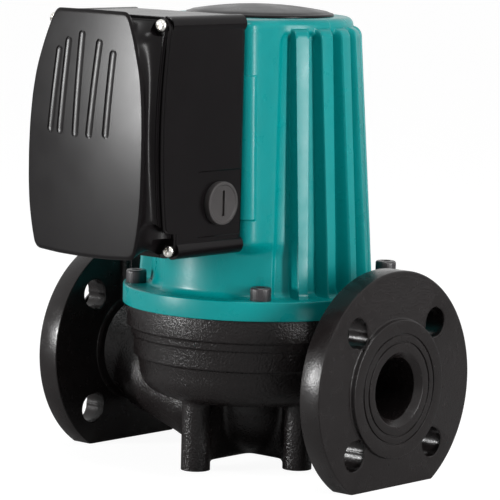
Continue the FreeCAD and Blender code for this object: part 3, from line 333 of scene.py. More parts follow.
class Finish:
    """Builds one procedural material in object coordinates."""

    def __init__(self, name, base, roughness, metallic=0.0, specular=0.5, coat=0.0, coat_roughness=0.1):
        self.material = bpy.data.materials.new(name)
        self.material.use_nodes = True
        self.material.diffuse_color = (*base, 1.0)
        self.tree = self.material.node_tree
        self.shader = self.tree.nodes["Principled BSDF"]
        self.base = base
        for socket, value in (("Base Color", (*base, 1.0)), ("Roughness", roughness), ("Metallic", metallic),
                              ("Specular IOR Level", specular), ("Coat Weight", coat),
                              ("Coat Roughness", coat_roughness)):
            self.shader.inputs[socket].default_value = value
        self.place = self.node("ShaderNodeTexCoord").outputs["Object"]

    def node(self, kind, **values):
        made = self.tree.nodes.new(kind)
        for name, value in values.items():
            setattr(made, name, value)
        return made

    def link(self, output, target):
        self.tree.links.new(output, target)

    def stretched(self, scale, location=(0, 0, 0)):
        """Object coordinates, moved and then stretched."""
        mapping = self.node("ShaderNodeMapping")
        mapping.inputs["Scale"].default_value = scale
        mapping.inputs["Location"].default_value = location
        self.link(self.place, mapping.inputs["Vector"])
        return mapping.outputs["Vector"]

    def noise(self, scale, detail=2.0, rough=0.5, place=None):
        made = self.node("ShaderNodeTexNoise")
        made.inputs["Scale"].default_value = scale
        made.inputs["Detail"].default_value = detail
        made.inputs["Roughness"].default_value = rough
        self.link(place or self.place, made.inputs["Vector"])
        return made.outputs["Fac"]

    def pebbles(self, scale, smoothness=0.7):
        made = self.node("ShaderNodeTexVoronoi", feature="SMOOTH_F1")
        made.inputs["Scale"].default_value = scale
        made.inputs["Smoothness"].default_value = smoothness
        self.link(self.place, made.inputs["Vector"])
        return made.outputs["Distance"]

    def remap(self, value, low, high, source=(0.3, 0.7)):
        made = self.node("ShaderNodeMapRange")
        made.inputs["From Min"].default_value = source[0]
        made.inputs["From Max"].default_value = source[1]
        made.inputs["To Min"].default_value = low
        made.inputs["To Max"].default_value = high
        self.link(value, made.inputs["Value"])
        return made.outputs["Result"]

    def tones(self, factor, dark, light):
        """Base colour between two shares of the finish's own colour."""
        made = self.node("ShaderNodeMix", data_type="RGBA")
        sockets = [s for s in made.inputs if s.type == "RGBA"]
        for socket, share in zip(sockets, (dark, light)):
            if isinstance(share, (int, float)):
                share = tuple(c * share for c in self.base)
            socket.default_value = (*share, 1.0)
        self.link(factor, made.inputs[0])
        result = next(s for s in made.outputs if s.type == "RGBA")
        self.link(result, self.shader.inputs["Base Color"])
        return self

    def gloss(self, value, low, high):
        self.link(self.remap(value, low, high), self.shader.inputs["Roughness"])
        return self

    def bump(self, height, strength, distance):
        """Adds a layer of relief under those already there; distance is in millimetres."""
        made = self.node("ShaderNodeBump")
        made.inputs["Strength"].default_value = strength
        made.inputs["Distance"].default_value = distance * MM
        self.link(height, made.inputs["Height"])
        normal = self.shader.inputs["Normal"]
        if normal.is_linked:
            self.link(normal.links[0].from_socket, made.inputs["Normal"])
        self.link(made.outputs["Normal"], normal)
        return self


def coat_finish(colours):
    """Semi-gloss powder coat with a slight orange peel."""
    made = Finish("teal powder coat", tuple(colours.coat), 0.3, specular=0.26)
    made.tones(made.noise(26.0, 3.0), 0.9, 1.1)
    made.gloss(made.noise(90.0, 3.0), 0.26, 0.36)
    return made.bump(made.noise(420.0, 1.0), 0.16, 0.16).bump(made.noise(1500.0, 2.0), 0.12, 0.05).material


def iron_finish(colours, name="black casting paint", machined=False):
    """Glossy black paint over a pebbled casting; machined faces add fine rings about the pipe."""
    made = Finish(name, tuple(colours.iron), 0.25, specular=0.26)
    made.tones(made.noise(30.0, 4.0), 0.72, 1.35)
    made.gloss(made.noise(140.0, 3.0), 0.18, 0.3)
    relief = 0.22 if machined else 1.0
    made.bump(made.noise(620.0, 3.0, 0.6), relief, 0.5).bump(made.pebbles(900.0), relief * 0.7, 0.25)
    if machined:
        centred = made.stretched((1, 1, 1), (0, 0, -0.063))
        rings = made.node("ShaderNodeTexWave", wave_type="RINGS", rings_direction="X", wave_profile="SIN")
        rings.inputs["Scale"].default_value = 330.0
        rings.inputs["Distortion"].default_value = 0.4
        made.link(centred, rings.inputs["Vector"])
        made.bump(rings.outputs["Fac"], 0.10, 0.06)
    return made.material


def box_finish(colours):
    """Satin moulded plastic with a very fine grain."""
    made = Finish("black box moulding", tuple(colours.plastic), 0.25, specular=0.14)
    made.tones(made.noise(18.0, 3.0), 0.85, 1.2)
    made.gloss(made.noise(60.0, 2.0), 0.24, 0.27)
    return made.bump(made.noise(2600.0, 1.0), 0.05, 0.03).material


def cap_finish(colours):
    made = Finish("black cap moulding", tuple(colours.cap), 0.3, specular=0.14)
    made.tones(made.noise(24.0, 3.0), 0.85, 1.2)
    made.gloss(made.noise(50.0, 4.0), 0.26, 0.38)
    return made.bump(made.noise(2200.0, 1.0), 0.06, 0.03).material


def bolt_finish(colours):
    """Oiled black steel, a little brighter where it is rubbed."""
    made = Finish("blackened steel", tuple(colours.bolt), 0.26, specular=0.6)
    made.tones(made.noise(420.0, 4.0, 0.7), 0.7, 1.9)
    made.gloss(made.noise(300.0, 3.0), 0.26, 0.46)
    return made.bump(made.noise(1800.0, 2.0), 0.12, 0.04).material


def zinc_finish(colours):
    made = Finish("bright zinc", tuple(colours.zinc), 0.2, metallic=1.0)
    made.tones(made.noise(500.0, 3.0), 0.86, 1.1)
    made.gloss(made.noise(900.0, 3.0), 0.14, 0.3)
    return made.bump(made.noise(2400.0, 2.0), 0.1, 0.03).material


def plug_finish(colours):
    made = Finish("grey plug moulding", tuple(colours.plug), 0.46, specular=0.3)
    made.tones(made.noise(60.0, 3.0), 0.88, 1.12)
    made.gloss(made.noise(120.0, 3.0), 0.4, 0.54)
    return made.bump(made.noise(1700.0, 2.0), 0.12, 0.05).material


def turned_finish(name, base, roughness):
    """Turned or brushed metal with fine marks round the pump axis."""
    made = Finish(name, base, roughness, metallic=1.0)
    made.tones(made.noise(200.0, 3.0), 0.84, 1.1)
    made.gloss(made.noise(700.0, 3.0), roughness * 0.8, roughness * 1.25)
    marks = made.noise(90.0, 2.0, place=made.stretched((1, 1, 30)))
    return made.bump(marks, 0.08, 0.05).material


def moulded_finish(name, base, roughness):
    """Plain moulded plastic, rubber or paint with a fine grain."""
    made = Finish(name, base, roughness, specular=0.4)
    made.tones(made.noise(70.0, 3.0), 0.88, 1.12)
    made.gloss(made.noise(160.0, 3.0), roughness * 0.88, min(1.0, roughness * 1.12))
    return made.bump(made.noise(1500.0, 2.0), 0.14, 0.05).material


def lamination_finish(name, base):
    """A stack of thin sheets across the pump axis."""
    made = Finish(name, base, 0.4, metallic=1.0)
    made.tones(made.noise(300.0, 2.0, place=made.stretched((0.2, 0.2, 4))), 0.7, 1.1)
    sheets = made.node("ShaderNodeTexWave", wave_type="BANDS", bands_direction="Z")
    sheets.inputs["Scale"].default_value = 320.0
    made.link(made.place, sheets.inputs["Vector"])
    return made.bump(sheets.outputs["Fac"], 0.3, 0.15).material


def slot_finishes(colours):
    """One finished material for each slot of the record."""
    base = {m["slot"]: tuple(m["base_color"][:3]) for m in frame["record"]["materials"]}
    made = {
        "housing_teal": coat_finish(colours),
        "cast_iron_black": iron_finish(colours),
        "box_plastic": box_finish(colours),
        "cap_black": cap_finish(colours),
        "bolt_black": bolt_finish(colours),
        "screw_zinc": zinc_finish(colours),
        "plug_grey": plug_finish(colours),
        "laminations": lamination_finish("stacked sheets", base["laminations"]),
    }
    for slot, roughness in (("bronze", 0.28), ("stainless", 0.24), ("copper", 0.35), ("cage_aluminium", 0.42),
                            ("vent_brass", 0.26), ("clip_steel", 0.3)):
        made[slot] = turned_finish(slot.replace("_", " ") + " metal", base[slot], roughness)
    for slot, value in base.items():
        if slot not in made:
            made[slot] = moulded_finish(slot.replace("_", " ") + " moulding", value, 0.5)
    return made


def material(slot):
    """The finish of a slot, made once and found again by its mark."""
    for known in bpy.data.materials:
        if known.get("pump_slot") == slot:
            return known
    raise RuntimeError("no finish was made for the slot {}".format(slot))


def deliver(made, slot, body, *nodes, finish=None):
    """Gives a finished piece its material, its body and the CAD nodes it stands for."""
    made.data.materials.clear()
    made.data.materials.append(finish or material(slot))
    indices = np.zeros(len(made.data.polygons), np.int32)
    made.data.polygons.foreach_set("material_index", indices)
    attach(made, body)
    if nodes:
        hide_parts(*nodes)
    return made


# Motor housing

WALL_LOW, WALL_HIGH = 70.0, 60.5
FLANGE_TOP, HOUSING_TOP, FIN_TOP = 116.5, 293.0, 287.0
JOINT = 104.0
FLANGE_RADIUS = 85.0
BOLT_PLACES = (
    (-54.094, -54.094, 116.5), (54.094, -54.094, 116.5), (61.518, 61.518, 125.0), (-61.518, 61.518, 125.0),
)
CREST_LOW, CREST_HIGH = 78.0, 66.0
FIN_NOSE = 6.0
FRONT_COLUMNS = 288
RIM_LOW, RIM_ROUND = 288.0, 5.0


def wall_radius(z):
    return WALL_LOW + (WALL_HIGH - WALL_LOW) * (z - FLANGE_TOP) / (HOUSING_TOP - FLANGE_TOP)


def fin_widths(z, sizes):
    """Half width of a fin's crest and width of its flank at height z."""
    climb = min(1.0, (z - FLANGE_TOP) / (FIN_TOP - FLANGE_TOP))
    return (sizes.fin_low + (sizes.fin_high - sizes.fin_low) * climb) / MM, sizes.fin_flank / MM


def row_turns(z, sizes):
    """Angles of one row's points: they follow the flanks of the fins, and are even round the front."""
    z = min(max(z, FLANGE_TOP), FIN_TOP)
    half, flank = (width / wall_radius(z) for width in fin_widths(z, sizes))
    crest = np.linspace(0, half, 4)
    slope = half + flank * np.array((0.15, 0.3, 0.5, 0.7, 0.85, 1.0))
    hollow = np.linspace(half + flank, sizes.fin_pitch / 2, 5)[1:]
    side = np.concatenate((crest, slope, hollow))
    one_fin = np.concatenate((-side[:0:-1], side[:-1]))
    outermost = (sizes.fin_count - 1) // 2
    fins = [np.pi / 2 + number * sizes.fin_pitch + one_fin for number in range(-outermost, outermost + 1)]
    finned = sizes.fin_count * sizes.fin_pitch
    last, first = (np.pi + finned) / 2, (np.pi - finned) / 2
    front = np.linspace(last, first + 2 * np.pi, FRONT_COLUMNS, endpoint=False)
    return np.concatenate(fins + [front])


def housing_radius(turns, z, sizes):
    """Outside of the housing at height z for an array of angles about the pump axis."""
    wall = wall_radius(z)
    pitch = math.degrees(sizes.fin_pitch)
    off = (np.degrees(turns) - 90 + 180) % 360 - 180
    outermost = (sizes.fin_count - 1) // 2
    share = (off / pitch + 0.5) % 1 - 0.5
    pitch_arc = math.radians(pitch) * wall
    half, flank = fin_widths(z, sizes)
    arc = np.abs(share) * pitch_arc
    climb = min(1.0, (z - FLANGE_TOP) / (FIN_TOP - FLANGE_TOP))
    crest = CREST_LOW + (CREST_HIGH - CREST_LOW) * climb
    if z > FIN_TOP - FIN_NOSE:
        nose = max(0.0, 1 - ((z - FIN_TOP + FIN_NOSE) / FIN_NOSE) ** 2) ** 0.5
        crest = wall + (crest - wall) * nose
    real_fin = np.abs(off) < (outermost + 0.5) * pitch
    in_fin = (1 - smoothstep(half, half + flank, arc)) * real_fin
    centre = np.clip((0.5 - np.abs(share)) / max(0.05, 0.5 - half / pitch_arc), 0, 1)
    arch = FIN_TOP - 1 - 6 * centre ** 2
    in_groove = smoothstep(half - 0.6, half + flank, arc) * (np.abs(off) < (outermost + 1) * pitch)
    in_groove = in_groove * (1 - smoothstep(arch - 4, arch, z))
    floor = wall - in_groove * sizes.groove_depth / MM
    radius = floor + in_fin * (crest - floor)

    side = np.cos(turns)
    forward = np.maximum(-np.sin(turns), 1e-3)
    below = 1 - smoothstep(143.0, 147.0, z)
    across = wall * side / forward
    setback = 4.2 * smoothstep(18.0, 23.0, -across) * (1 - smoothstep(70.0, 110.0, -across))
    radius = radius - below * np.where(-np.sin(turns) > 0.1, setback, 0.0)

    rise = min(1.0, max(0.0, (z - 160) / 125))
    half = (sizes.shoulder_low + (sizes.shoulder_high - sizes.shoulder_low) * rise) / MM
    grown = smoothstep(140.0, 153.0, z)
    crisp = 13.0
    front = ((forward * MM / sizes.pad_front) ** crisp + (np.abs(side) / half) ** crisp) ** (-1 / crisp)
    front = front * grown + (1 - grown) * 0.9 * wall
    front = np.where(-np.sin(turns) > 0.02, front, 0.0)
    gap = radius - front
    radius = 0.5 * (radius + front + np.sqrt(gap * gap + 22.0 * grown))
    beside = smoothstep(167.2, 168.4, z) - smoothstep(257.8, 259.0, z)
    strip = smoothstep(59.0, 59.7, radius * forward) * smoothstep(38.0, 42.0, np.abs(radius * side)) * beside
    return radius * (1 + strip * sizes.ledge_rise / MM / np.maximum(np.abs(radius * side), 20.0))


def housing_shell(sizes):
    """Rows from the flange up: root fillet, finned wall, rounded top, and down again inside the bore."""
    rows = []

    def row(radius, z):
        turns = row_turns(z, sizes)
        reach = radius(turns) if callable(radius) else np.full(len(turns), radius)
        rows.append(np.stack([reach * np.cos(turns), reach * np.sin(turns), np.full(len(turns), float(z))], 1))

    edge = soften(((FLANGE_RADIUS - 10, JOINT), (FLANGE_RADIUS, JOINT, 0.8), (FLANGE_RADIUS, FLANGE_TOP, 1.2),
                   (FLANGE_RADIUS - 2, FLANGE_TOP)), closed=False)
    for radius, z in edge:
        row(radius, z)
    fillet = sizes.root_fillet / MM
    widest_foot = FLANGE_RADIUS - 2.4 - fillet
    for step in range(8):
        a = step / 8 * np.pi / 2
        out = fillet * (1 - math.sin(a))
        row(lambda turns: out + np.minimum(housing_radius(turns, FLANGE_TOP + fillet, sizes), widest_foot),
            FLANGE_TOP + fillet * (1 - math.cos(a)))
    heights = list(np.linspace(FLANGE_TOP + fillet, 142, 9)) + list(np.linspace(143, 146, 4))
    heights += list(np.linspace(147.5, 158, 8)) + [162, 166.5] + list(np.linspace(167, 168.8, 5))
    heights += list(np.linspace(175, 256.5, 14)) + list(np.linspace(257.5, 259.3, 5))
    heights += list(np.linspace(263, 273, 4)) + list(np.linspace(275, RIM_LOW, 20))
    for z in heights:
        row(lambda turns: housing_radius(turns, z, sizes), z)
    for step in range(1, 7):
        a = step / 6 * np.pi / 2
        back = RIM_ROUND * (1 - math.cos(a))
        row(lambda turns: housing_radius(turns, RIM_LOW, sizes) - back, RIM_LOW + RIM_ROUND * math.sin(a))
    for radius, z in ((50.0, HOUSING_TOP), (16.0, HOUSING_TOP), (16.0, 287.0), (56.0, 287.0), (56.0, JOINT)):
        row(radius, z)
    return loft("motor_shell", rows, ends="loop")


def build_housing(sizes):
    shell = housing_shell(sizes)
    for x, y, z in BOLT_PLACES[2:]:
        lug = lathe("lug", soften(((0, JOINT), (10, JOINT, 0.6), (10, z, 1.4), (0, z)), closed=False),
                    origin=(x, y, 0), steps=64)
        unite(shell, lug)
    for x, y, z in BOLT_PLACES:
        cut(shell, lathe("spot_face", ((0, z), (7.6, z), (7.6, z + 14), (0, z + 14)), origin=(x, y, 0), steps=64))
    cut(shell, rod("lead_way", (0, -50, 256), (0, -80, 256), 9.0))
    return smooth(shell, 40)


# Casing

PIPE = 63.0
DUCT_RADIUS, PORT_RADIUS = 27.5, 20.0
INLET_LINE = ((-101, 63), (-82, 47.325), (-41, 34.5), (0, 34.5))
OUTLET_LINE = ((59.96, 74.02), (82, 63))
FLANGE_BACK, FLANGE_FACE, PORT_FACE = 106.0, 122.0, 125.0
BOWL = (
    (0, 45), (61, 45, 3), (69.5, 50, 4), (73.0, 58, 3), (74.6, 69.2, 0.6), (77.3, 70.4, 0.8), (77.6, 82.8, 0.8),
    (79.2, 83.8, 0.7), (79.4, 88.2, 0.6), (82, 89.4, 0.8), (82, 104, 0.8), (0, 104),
)


def run(name, line, radius, extra=0.4):
    """Solids of a duct along points of the XZ plane: bars, with balls at the bends."""
    made = []
    for index, (start, end) in enumerate(zip(line, line[1:])):
        made.append(rod("{}_{}".format(name, index), (start[0], 0, start[1]), (end[0], 0, end[1]), radius))
    for index, (x, z) in enumerate(line[1:-1]):
        made.append(ball("{}_bend_{}".format(name, index), (x, 0, z), radius + extra))
    return made


def casting_rough(sizes):
    """The casting's masses as overlapping solids, blended into one skin."""
    masses = [lathe("bowl_mass", [(max(0, r - 1.0), z) for r, z, *_ in BOWL])]
    masses += run("inlet_skin", ((-107.0, 63),) + INLET_LINE, DUCT_RADIUS)
    masses += run("outlet_skin", OUTLET_LINE + ((107.0, 63),), DUCT_RADIUS)
    masses.append(ball("elbow", (0, 0, 36.0), 31.0))
    masses.append(rod("eye_column", (0, 0, 34.5), (0, 0, 62), 31.5))
    for sign in (-1, 1):
        masses.append(rod("collar", (sign * 94, 0, PIPE), (sign * 107, 0, PIPE), 26.5, 34.5))
        masses.append(rod("rib", (sign * 105.5, -10, 83), (sign * 105.5, -10, 131), 4.2))
    for x, y in ((0, -52), (0, 52), (42, 0), (-42, 0)):
        masses.append(rod("foot", (x, y, -8), (x, y, 53), 9.6))
    masses.append(brick("web_across", (-5.2, -52, 5), (5.2, 52, 53)))
    masses.append(brick("web_along", (-42, -5.2, 5), (42, 5.2, 53)))
    for x, y, _ in BOLT_PLACES[2:]:
        masses.append(rod("casing_lug", (x, y, 90), (x, y, 103), 10.4))
    rough = join(*masses)
    rough.name = rough.data.name = "casing"
    remesh = rough.modifiers.new("Blend", "REMESH")
    remesh.mode = "VOXEL"
    remesh.voxel_size = sizes.voxel
    remesh.adaptivity = 0.0
    relax = rough.modifiers.new("Fillets", "SMOOTH")
    relax.factor = 0.5
    relax.iterations = sizes.smoothing
    return settle(rough)


def build_casing(sizes):
    casing = casting_rough(sizes)
    unite(casing, lathe("bowl_rings", soften(BOWL, 0.6, closed=False), steps=192))
    inlet_way = rod("inlet_way", (-130, 0, PIPE), (-101, 0, PIPE), PORT_RADIUS)
    unite(inlet_way, *run("inlet_way", INLET_LINE + ((0.0, 70.0),), PORT_RADIUS))
    unite(inlet_way, ball("turn", (-101, 0, PIPE), 20.4))
    outlet_way = rod("outlet_way", (82, 0, PIPE), (130, 0, PIPE), PORT_RADIUS)
    unite(outlet_way, ball("turn", (82, 0, PIPE), 20.4), rod("slope", (44, 0, 82), (82, 0, 63), 17.0))
    chamber = lathe("chamber", ((0, 62), (64, 62), (64, 96), (66, 96), (66, 106), (0, 106)))
    cut(casing, brick("standing_plane", (-140, -100, -40), (140, 100, 0)), inlet_way, outlet_way, chamber)
    return smooth(casing, 38)


def build_flange(side, sign, sizes):
    """One crisp pipe flange with its raised face, gasket grooves and keyhole bolt holes."""
    edge = sizes.edge / MM
    profile = soften((
        (19.9, FLANGE_BACK - 3, 0), (36, FLANGE_BACK - 3, 0), (36, FLANGE_BACK, 0.8),
        (75, FLANGE_BACK, edge), (75, FLANGE_FACE, edge), (44.6, FLANGE_FACE, 0.8), (44, PORT_FACE, 0.5),
        (35.7, PORT_FACE, 0.15), (35.5, 124.1, 0.1), (34.5, 124.1, 0.1), (34.3, PORT_FACE, 0.15),
        (30.7, PORT_FACE, 0.15), (30.5, 124.1, 0.1), (29.5, 124.1, 0.1), (29.3, PORT_FACE, 0.15),
        (24, PORT_FACE, 0.3), (19.9, 121, 0.6)))
    axis = "+X" if sign > 0 else "-X"
    flange = lathe(side + "_flange", profile, axis, (0, 0, PIPE), steps=192)
    cut(flange, brick("standing_plane", (-140, -100, -40), (140, 100, 0)))
    flare = sizes.hole_flare / MM
    for reach, radius in ((55.0, 9.5), (50.0, 6.5)):
        for quarter in range(4):
            turn = math.radians(45 + 90 * quarter)
            centre = (0, reach * math.cos(turn), PIPE + reach * math.sin(turn))
            hole = lathe("hole", ((0, FLANGE_BACK - 1), (radius + flare + 1, FLANGE_BACK - 1),
                                  (radius, FLANGE_BACK + flare), (radius, FLANGE_FACE - flare),
                                  (radius + flare + 1, FLANGE_FACE + 1), (0, FLANGE_FACE + 1)),
                         axis, centre, steps=64)
            cut(flange, hole)
    return smooth(flange, 30)


# Terminal box

BOX_HALF, BOX_LOW, BOX_HIGH, BOX_CORNER = 50.0, 148.2, 296.6, 8.0
BOX_REAR, BOX_FRONT = 68.0, 138.0
BOX_MIDDLE = (BOX_LOW + BOX_HIGH) / 2
COLUMNS = 512
FACE_OUTLINE = (
    (0, 299.4), (30.5, 299.2), (34.4, 292), (38.4, 282), (41.8, 272), (45.0, 261), (47.4, 246),
    (48.8, 228), (49.2, 210), (48.9, 190), (47.9, 175), (45.6, 161), (42.6, 149.0), (22, 147.6), (0, 147.2),
)
LOW_CORNER = {"x": 46.3, "z": 153.2, "seat": 2.3, "radius": 8.0, "far": 144.5}
HIGH_CORNER = {"x": 45.2, "z": 291.4, "seat": 4.6, "radius": 6.4, "far": 160.0}
SCREW_CORNERS = tuple((side, corner) for corner in (LOW_CORNER, HIGH_CORNER) for side in (-1, 1))
POCKET_WALL = 1.8
GROOVES = (((-24.4, 276), (-29.4, 222)), ((-16.8, 282), (-21.0, 221.5)), ((-5.6, 286.5), (-7.6, 220.5)),
           ((9.6, 282), (4.0, 220.5)), ((21.4, 276), (18.0, 221.5)))
ENTRY = (90.0, 180.5)


def polar(points, columns=COLUMNS):
    """Samples a closed star-shaped outline, as x and z, at even angles about the box's middle."""
    points = np.asarray(points, float) - (0, BOX_MIDDLE)
    turns = np.arctan2(points[:, 1], points[:, 0])
    order = np.argsort(turns)
    turns, points = turns[order], points[order]
    turns = np.concatenate([turns[-1:] - 2 * np.pi, turns, turns[:1] + 2 * np.pi])
    points = np.vstack([points[-1:], points, points[:1]])
    wanted = (np.arange(columns) + 0.5) / columns * 2 * np.pi - np.pi
    result = []
    for turn in wanted:
        index = np.searchsorted(turns, turn) - 1
        a, b = points[index], points[index + 1]
        ray = np.array((math.cos(turn), math.sin(turn)))
        matrix = np.array(((ray[0], a[0] - b[0]), (ray[1], a[1] - b[1])))
        reach = np.linalg.solve(matrix, a)[0]
        result.append(ray * reach)
    return np.array(result)


def rounded_rectangle(half, low, high, corner, steps=16):
    """Outline of the box in x and z, with more points than it needs."""
    points = []
    for cx, cz, start in ((half - corner, high - corner, 0), (-half + corner, high - corner, 90),
                          (-half + corner, low + corner, 180), (half - corner, low + corner, 270)):
        for step in range(steps + 1):
            turn = math.radians(start + 90 * step / steps)
            points.append((cx + corner * math.cos(turn), cz + corner * math.sin(turn)))
    return points


def inset_box(inset):
    corner = max(1.0, BOX_CORNER - inset)
    return polar(rounded_rectangle(BOX_HALF - inset, BOX_LOW + inset, BOX_HIGH - inset, corner))


SEAM_CORNER = 129.4


def seam(z, sizes):
    """How far forward the joint between box and lid lies at height z."""
    bowed = 135.8 + sizes.seam_bow / MM * (1 - ((z - BOX_MIDDLE) / 74.0) ** 2)
    return bowed + (SEAM_CORNER - bowed) * (1 - smoothstep(164.0, 165.6, z))


def ring_at(outline, forward):
    """A ring in the row frame from an outline about the box's middle; forward is its -Y."""
    forward = np.broadcast_to(forward, len(outline))
    return np.stack([outline[:, 0], -forward, outline[:, 1] + BOX_MIDDLE], 1)


def face_forward(x, z):
    """The lid's face: crowned across, and leaning back towards its top."""
    return 161.4 - 4.6 * ((z - 195) / 102.0) ** 2 - 1.4 * (x / 50.0) ** 2


def groove_tool(high, low, sizes):
    """A shallow round-ended trough that follows the lid's face from one end to the other."""
    half, depth = sizes.groove_width / MM / 2, sizes.groove_depth / MM
    high, low = np.array(high, float), np.array(low, float)
    along = (low - high) / np.linalg.norm(low - high)
    across = np.array((-along[1], along[0]))
    total = np.linalg.norm(low - high)
    round_end = half * (1 - np.cos(np.linspace(0.2, np.pi / 2, 8)))
    stations = np.concatenate((round_end, np.linspace(half, total - half, 16)[1:-1], total - round_end[::-1]))
    rings = []
    for station in stations:
        past = max(0.0, half - station, station - total + half)
        width = math.sqrt(half ** 2 - past ** 2)
        slope = min(0.45, 0.25 * width)
        section = ((-width - 0.5, 1.0), (-width, -0.02), (-width + slope, 0.12 - depth),
                   (-width + 1.6 * slope, -depth), (width - 1.6 * slope, -depth), (width - slope, 0.12 - depth),
                   (width, -0.02), (width + 0.5, 1.0))
        ring = []
        for offset, rise in section:
            x, z = high + along * station + across * offset
            ring.append((x, -face_forward(x, z) - rise, z))
        rings.append(ring)
    return loft("groove", rings)


def face_outline():
    right = [tuple(p) for p in FACE_OUTLINE]
    left = [(-x, z) for x, z in reversed(right[1:-1])]
    rounded = soften([(x, z, 0.0 if abs(x) < 1 else 5.0) for x, z in right + left], 5.0, steps=8)
    return polar(rounded)


def build_lid(sizes):
    """The lid: lip, waisted side, crisp face edge and crowned face with five grooves."""
    wall = sizes.wall / MM
    lip = sizes.lip / MM
    waist = sizes.waist / MM
    outer = inset_box(0.0)
    face = face_outline()

    def skin(shrink, hollow):
        """Rings from the seam to the middle of the face, for the outside or the inside."""
        rings = []
        edge = seam(outer[:, 1] + BOX_MIDDLE, sizes) + 0.25
        levels = ((0.35, 0.0), (0.0, 0.35), (0.0, 2.0), (0.35, 2.35), (lip - 0.3, 2.5), (lip, 2.8),
                  (lip, 4.2), (lip + 0.5, 4.7))
        if hollow:
            levels = ((0.0, 0.0), (0.0, 4.7))
        for inset, rise in levels:
            rings.append(ring_at(inset_box(inset + shrink), edge + rise))
        foot = inset_box(lip + 0.5 + shrink)
        foot_forward = edge + 4.7
        target = face * (1 - shrink / 62.0)
        target_forward = face_forward(target[:, 0], target[:, 1] + BOX_MIDDLE) - 1.0 - shrink
        for step in range(1, 13):
            s = step / 12
            mixed = foot * (1 - s) + target * s
            reach = np.linalg.norm(mixed, axis=1, keepdims=True)
            mixed = mixed * (1 - waist * math.sin(math.pi * s ** 0.8) / reach)
            rings.append(ring_at(mixed, foot_forward * (1 - s) + target_forward * s))
        if hollow:
            shares = np.linspace(1, 60, 6)
        else:
            shares = np.concatenate([[0.35, 0.8, 1.4], np.linspace(2.2, 60, 24)])
        for share in shares:
            ring = target * (1 - share / 61.5)
            x, z = ring[:, 0], ring[:, 1] + BOX_MIDDLE
            forward = face_forward(x, z) - shrink
            if not hollow:
                forward = forward - max(0.0, 1 - share / 1.5) ** 2
            rings.append(ring_at(ring, forward))
        return rings

    outside, inside = skin(0.0, False), skin(wall, True)
    columns = COLUMNS
    points = np.vstack([np.vstack(outside), np.vstack(inside), outside[-1].mean(0), inside[-1].mean(0)])
    faces = quads(len(outside), columns)
    shift = len(outside) * columns
    faces += [tuple(shift + i for i in f) for f in quads(len(inside), columns)]
    pole = len(points) - 2
    for column in range(columns):
        after = (column + 1) % columns
        faces.append((pole, (len(outside) - 1) * columns + column, (len(outside) - 1) * columns + after))
        faces.append((pole + 1, shift + (len(inside) - 1) * columns + column,
                      shift + (len(inside) - 1) * columns + after))
        faces.append((column, after, shift + after, shift + column))
    lid = outward(piece("terminal_lid", points, faces))
    for side, corner in SCREW_CORNERS:
        joint = seam(corner["z"], sizes)
        outer, inner = corner["radius"] + POCKET_WALL, corner["radius"]
        wall_end = corner["far"] + POCKET_WALL
        lug = corner_prism("lug", side, corner, outer, joint + 0.4, wall_end, BOX_HALF - 2.6)
        combine(lug, loft("lid_outside", outside), "INTERSECT")
        unite(lid, lug)
        cut(lid, corner_prism("pocket", side, corner, inner, joint + corner["seat"], corner["far"]))
    for high, low in GROOVES:
        cut(lid, groove_tool(high, low, sizes))
    return smooth(lid, 34)


def corner_prism(name, side, corner, radius, near, far, limit=60.0, steps=10):
    """A block over one corner of the lid: open outwards, and round towards the lid's middle."""
    x, z = side * corner["x"], corner["z"]
    up = math.copysign(1, z - BOX_MIDDLE)
    out = side * limit
    ends = BOX_MIDDLE + up * ((BOX_HIGH - BOX_LOW) / 2 + limit - BOX_HALF)
    outline = [(out, z - up * radius), (out, ends), (x - side * radius, ends)]
    for step in range(steps + 1):
        turn = step / steps * math.pi / 2
        outline.append((x - side * radius * math.cos(turn), z - up * radius * math.sin(turn)))
    return loft(name, [np.array([(px, -forward, pz) for px, pz in outline]) for forward in (near, far)])


def build_tray(sizes):
    """The box: open towards the lid, with screw columns, cable entries and the plug's recess."""
    wall = sizes.wall / MM
    rings = []

    def ring(inset, forward):
        rings.append(ring_at(inset_box(inset), forward))

    edge = seam(inset_box(0.0)[:, 1] + BOX_MIDDLE, sizes)
    for inset, forward in ((7.0, 68.0), (3.0, 68.2), (1.2, 69.2), (0.35, 71.0), (0.0, 74.0)):
        ring(inset, forward)
    for share in (0.25, 0.5, 0.75):
        ring(0.0, 74.0 + (edge - 74.0) * share)
    ring(0.0, edge - 0.5)
    ring(0.35, edge)
    ring(wall, edge)
    ring(wall, edge - 10.0)
    ring(wall, 80.0)
    ring(wall, 71.0)
    tray = loft("terminal_tray", rings)
    for side, corner in SCREW_CORNERS:
        x, z = side * corner["x"], corner["z"]
        column = rod("column", (x, -69.5, z), (x, -seam(z, sizes) + 0.3, z), 5.6, steps=48)
        unite(tray, column)
        cut(tray, rod("screw_way", (x, -seam(z, sizes) + 14, z), (x, -150, z), 2.0, steps=24))
    forward, height = ENTRY
    reach = sizes.recess / MM
    rings = []
    for x, chamfer in ((BOX_HALF - 1.0, 0.0), (BOX_HALF - 0.7, 0.0), (BOX_HALF + 0.3, 1.0), (BOX_HALF + 4, 1.0)):
        outline = rounded_rectangle(reach + chamfer, -reach - chamfer, reach + chamfer, 1.6, 4)
        rings.append(np.array([(x, -forward + u, height + v) for u, v in outline]))
    cut(tray, loft("recess", rings))
    for sign in (-1, 1):
        inner, outer = sign * (BOX_HALF - 8), sign * (BOX_HALF + 8)
        cut(tray, rod("entry", (inner, -forward, height), (outer, -forward, height), 12.4))
    cut(tray, rod("lead_way", (0, -60, 256), (0, -76, 256), 9.0))
    return smooth(tray, 34)


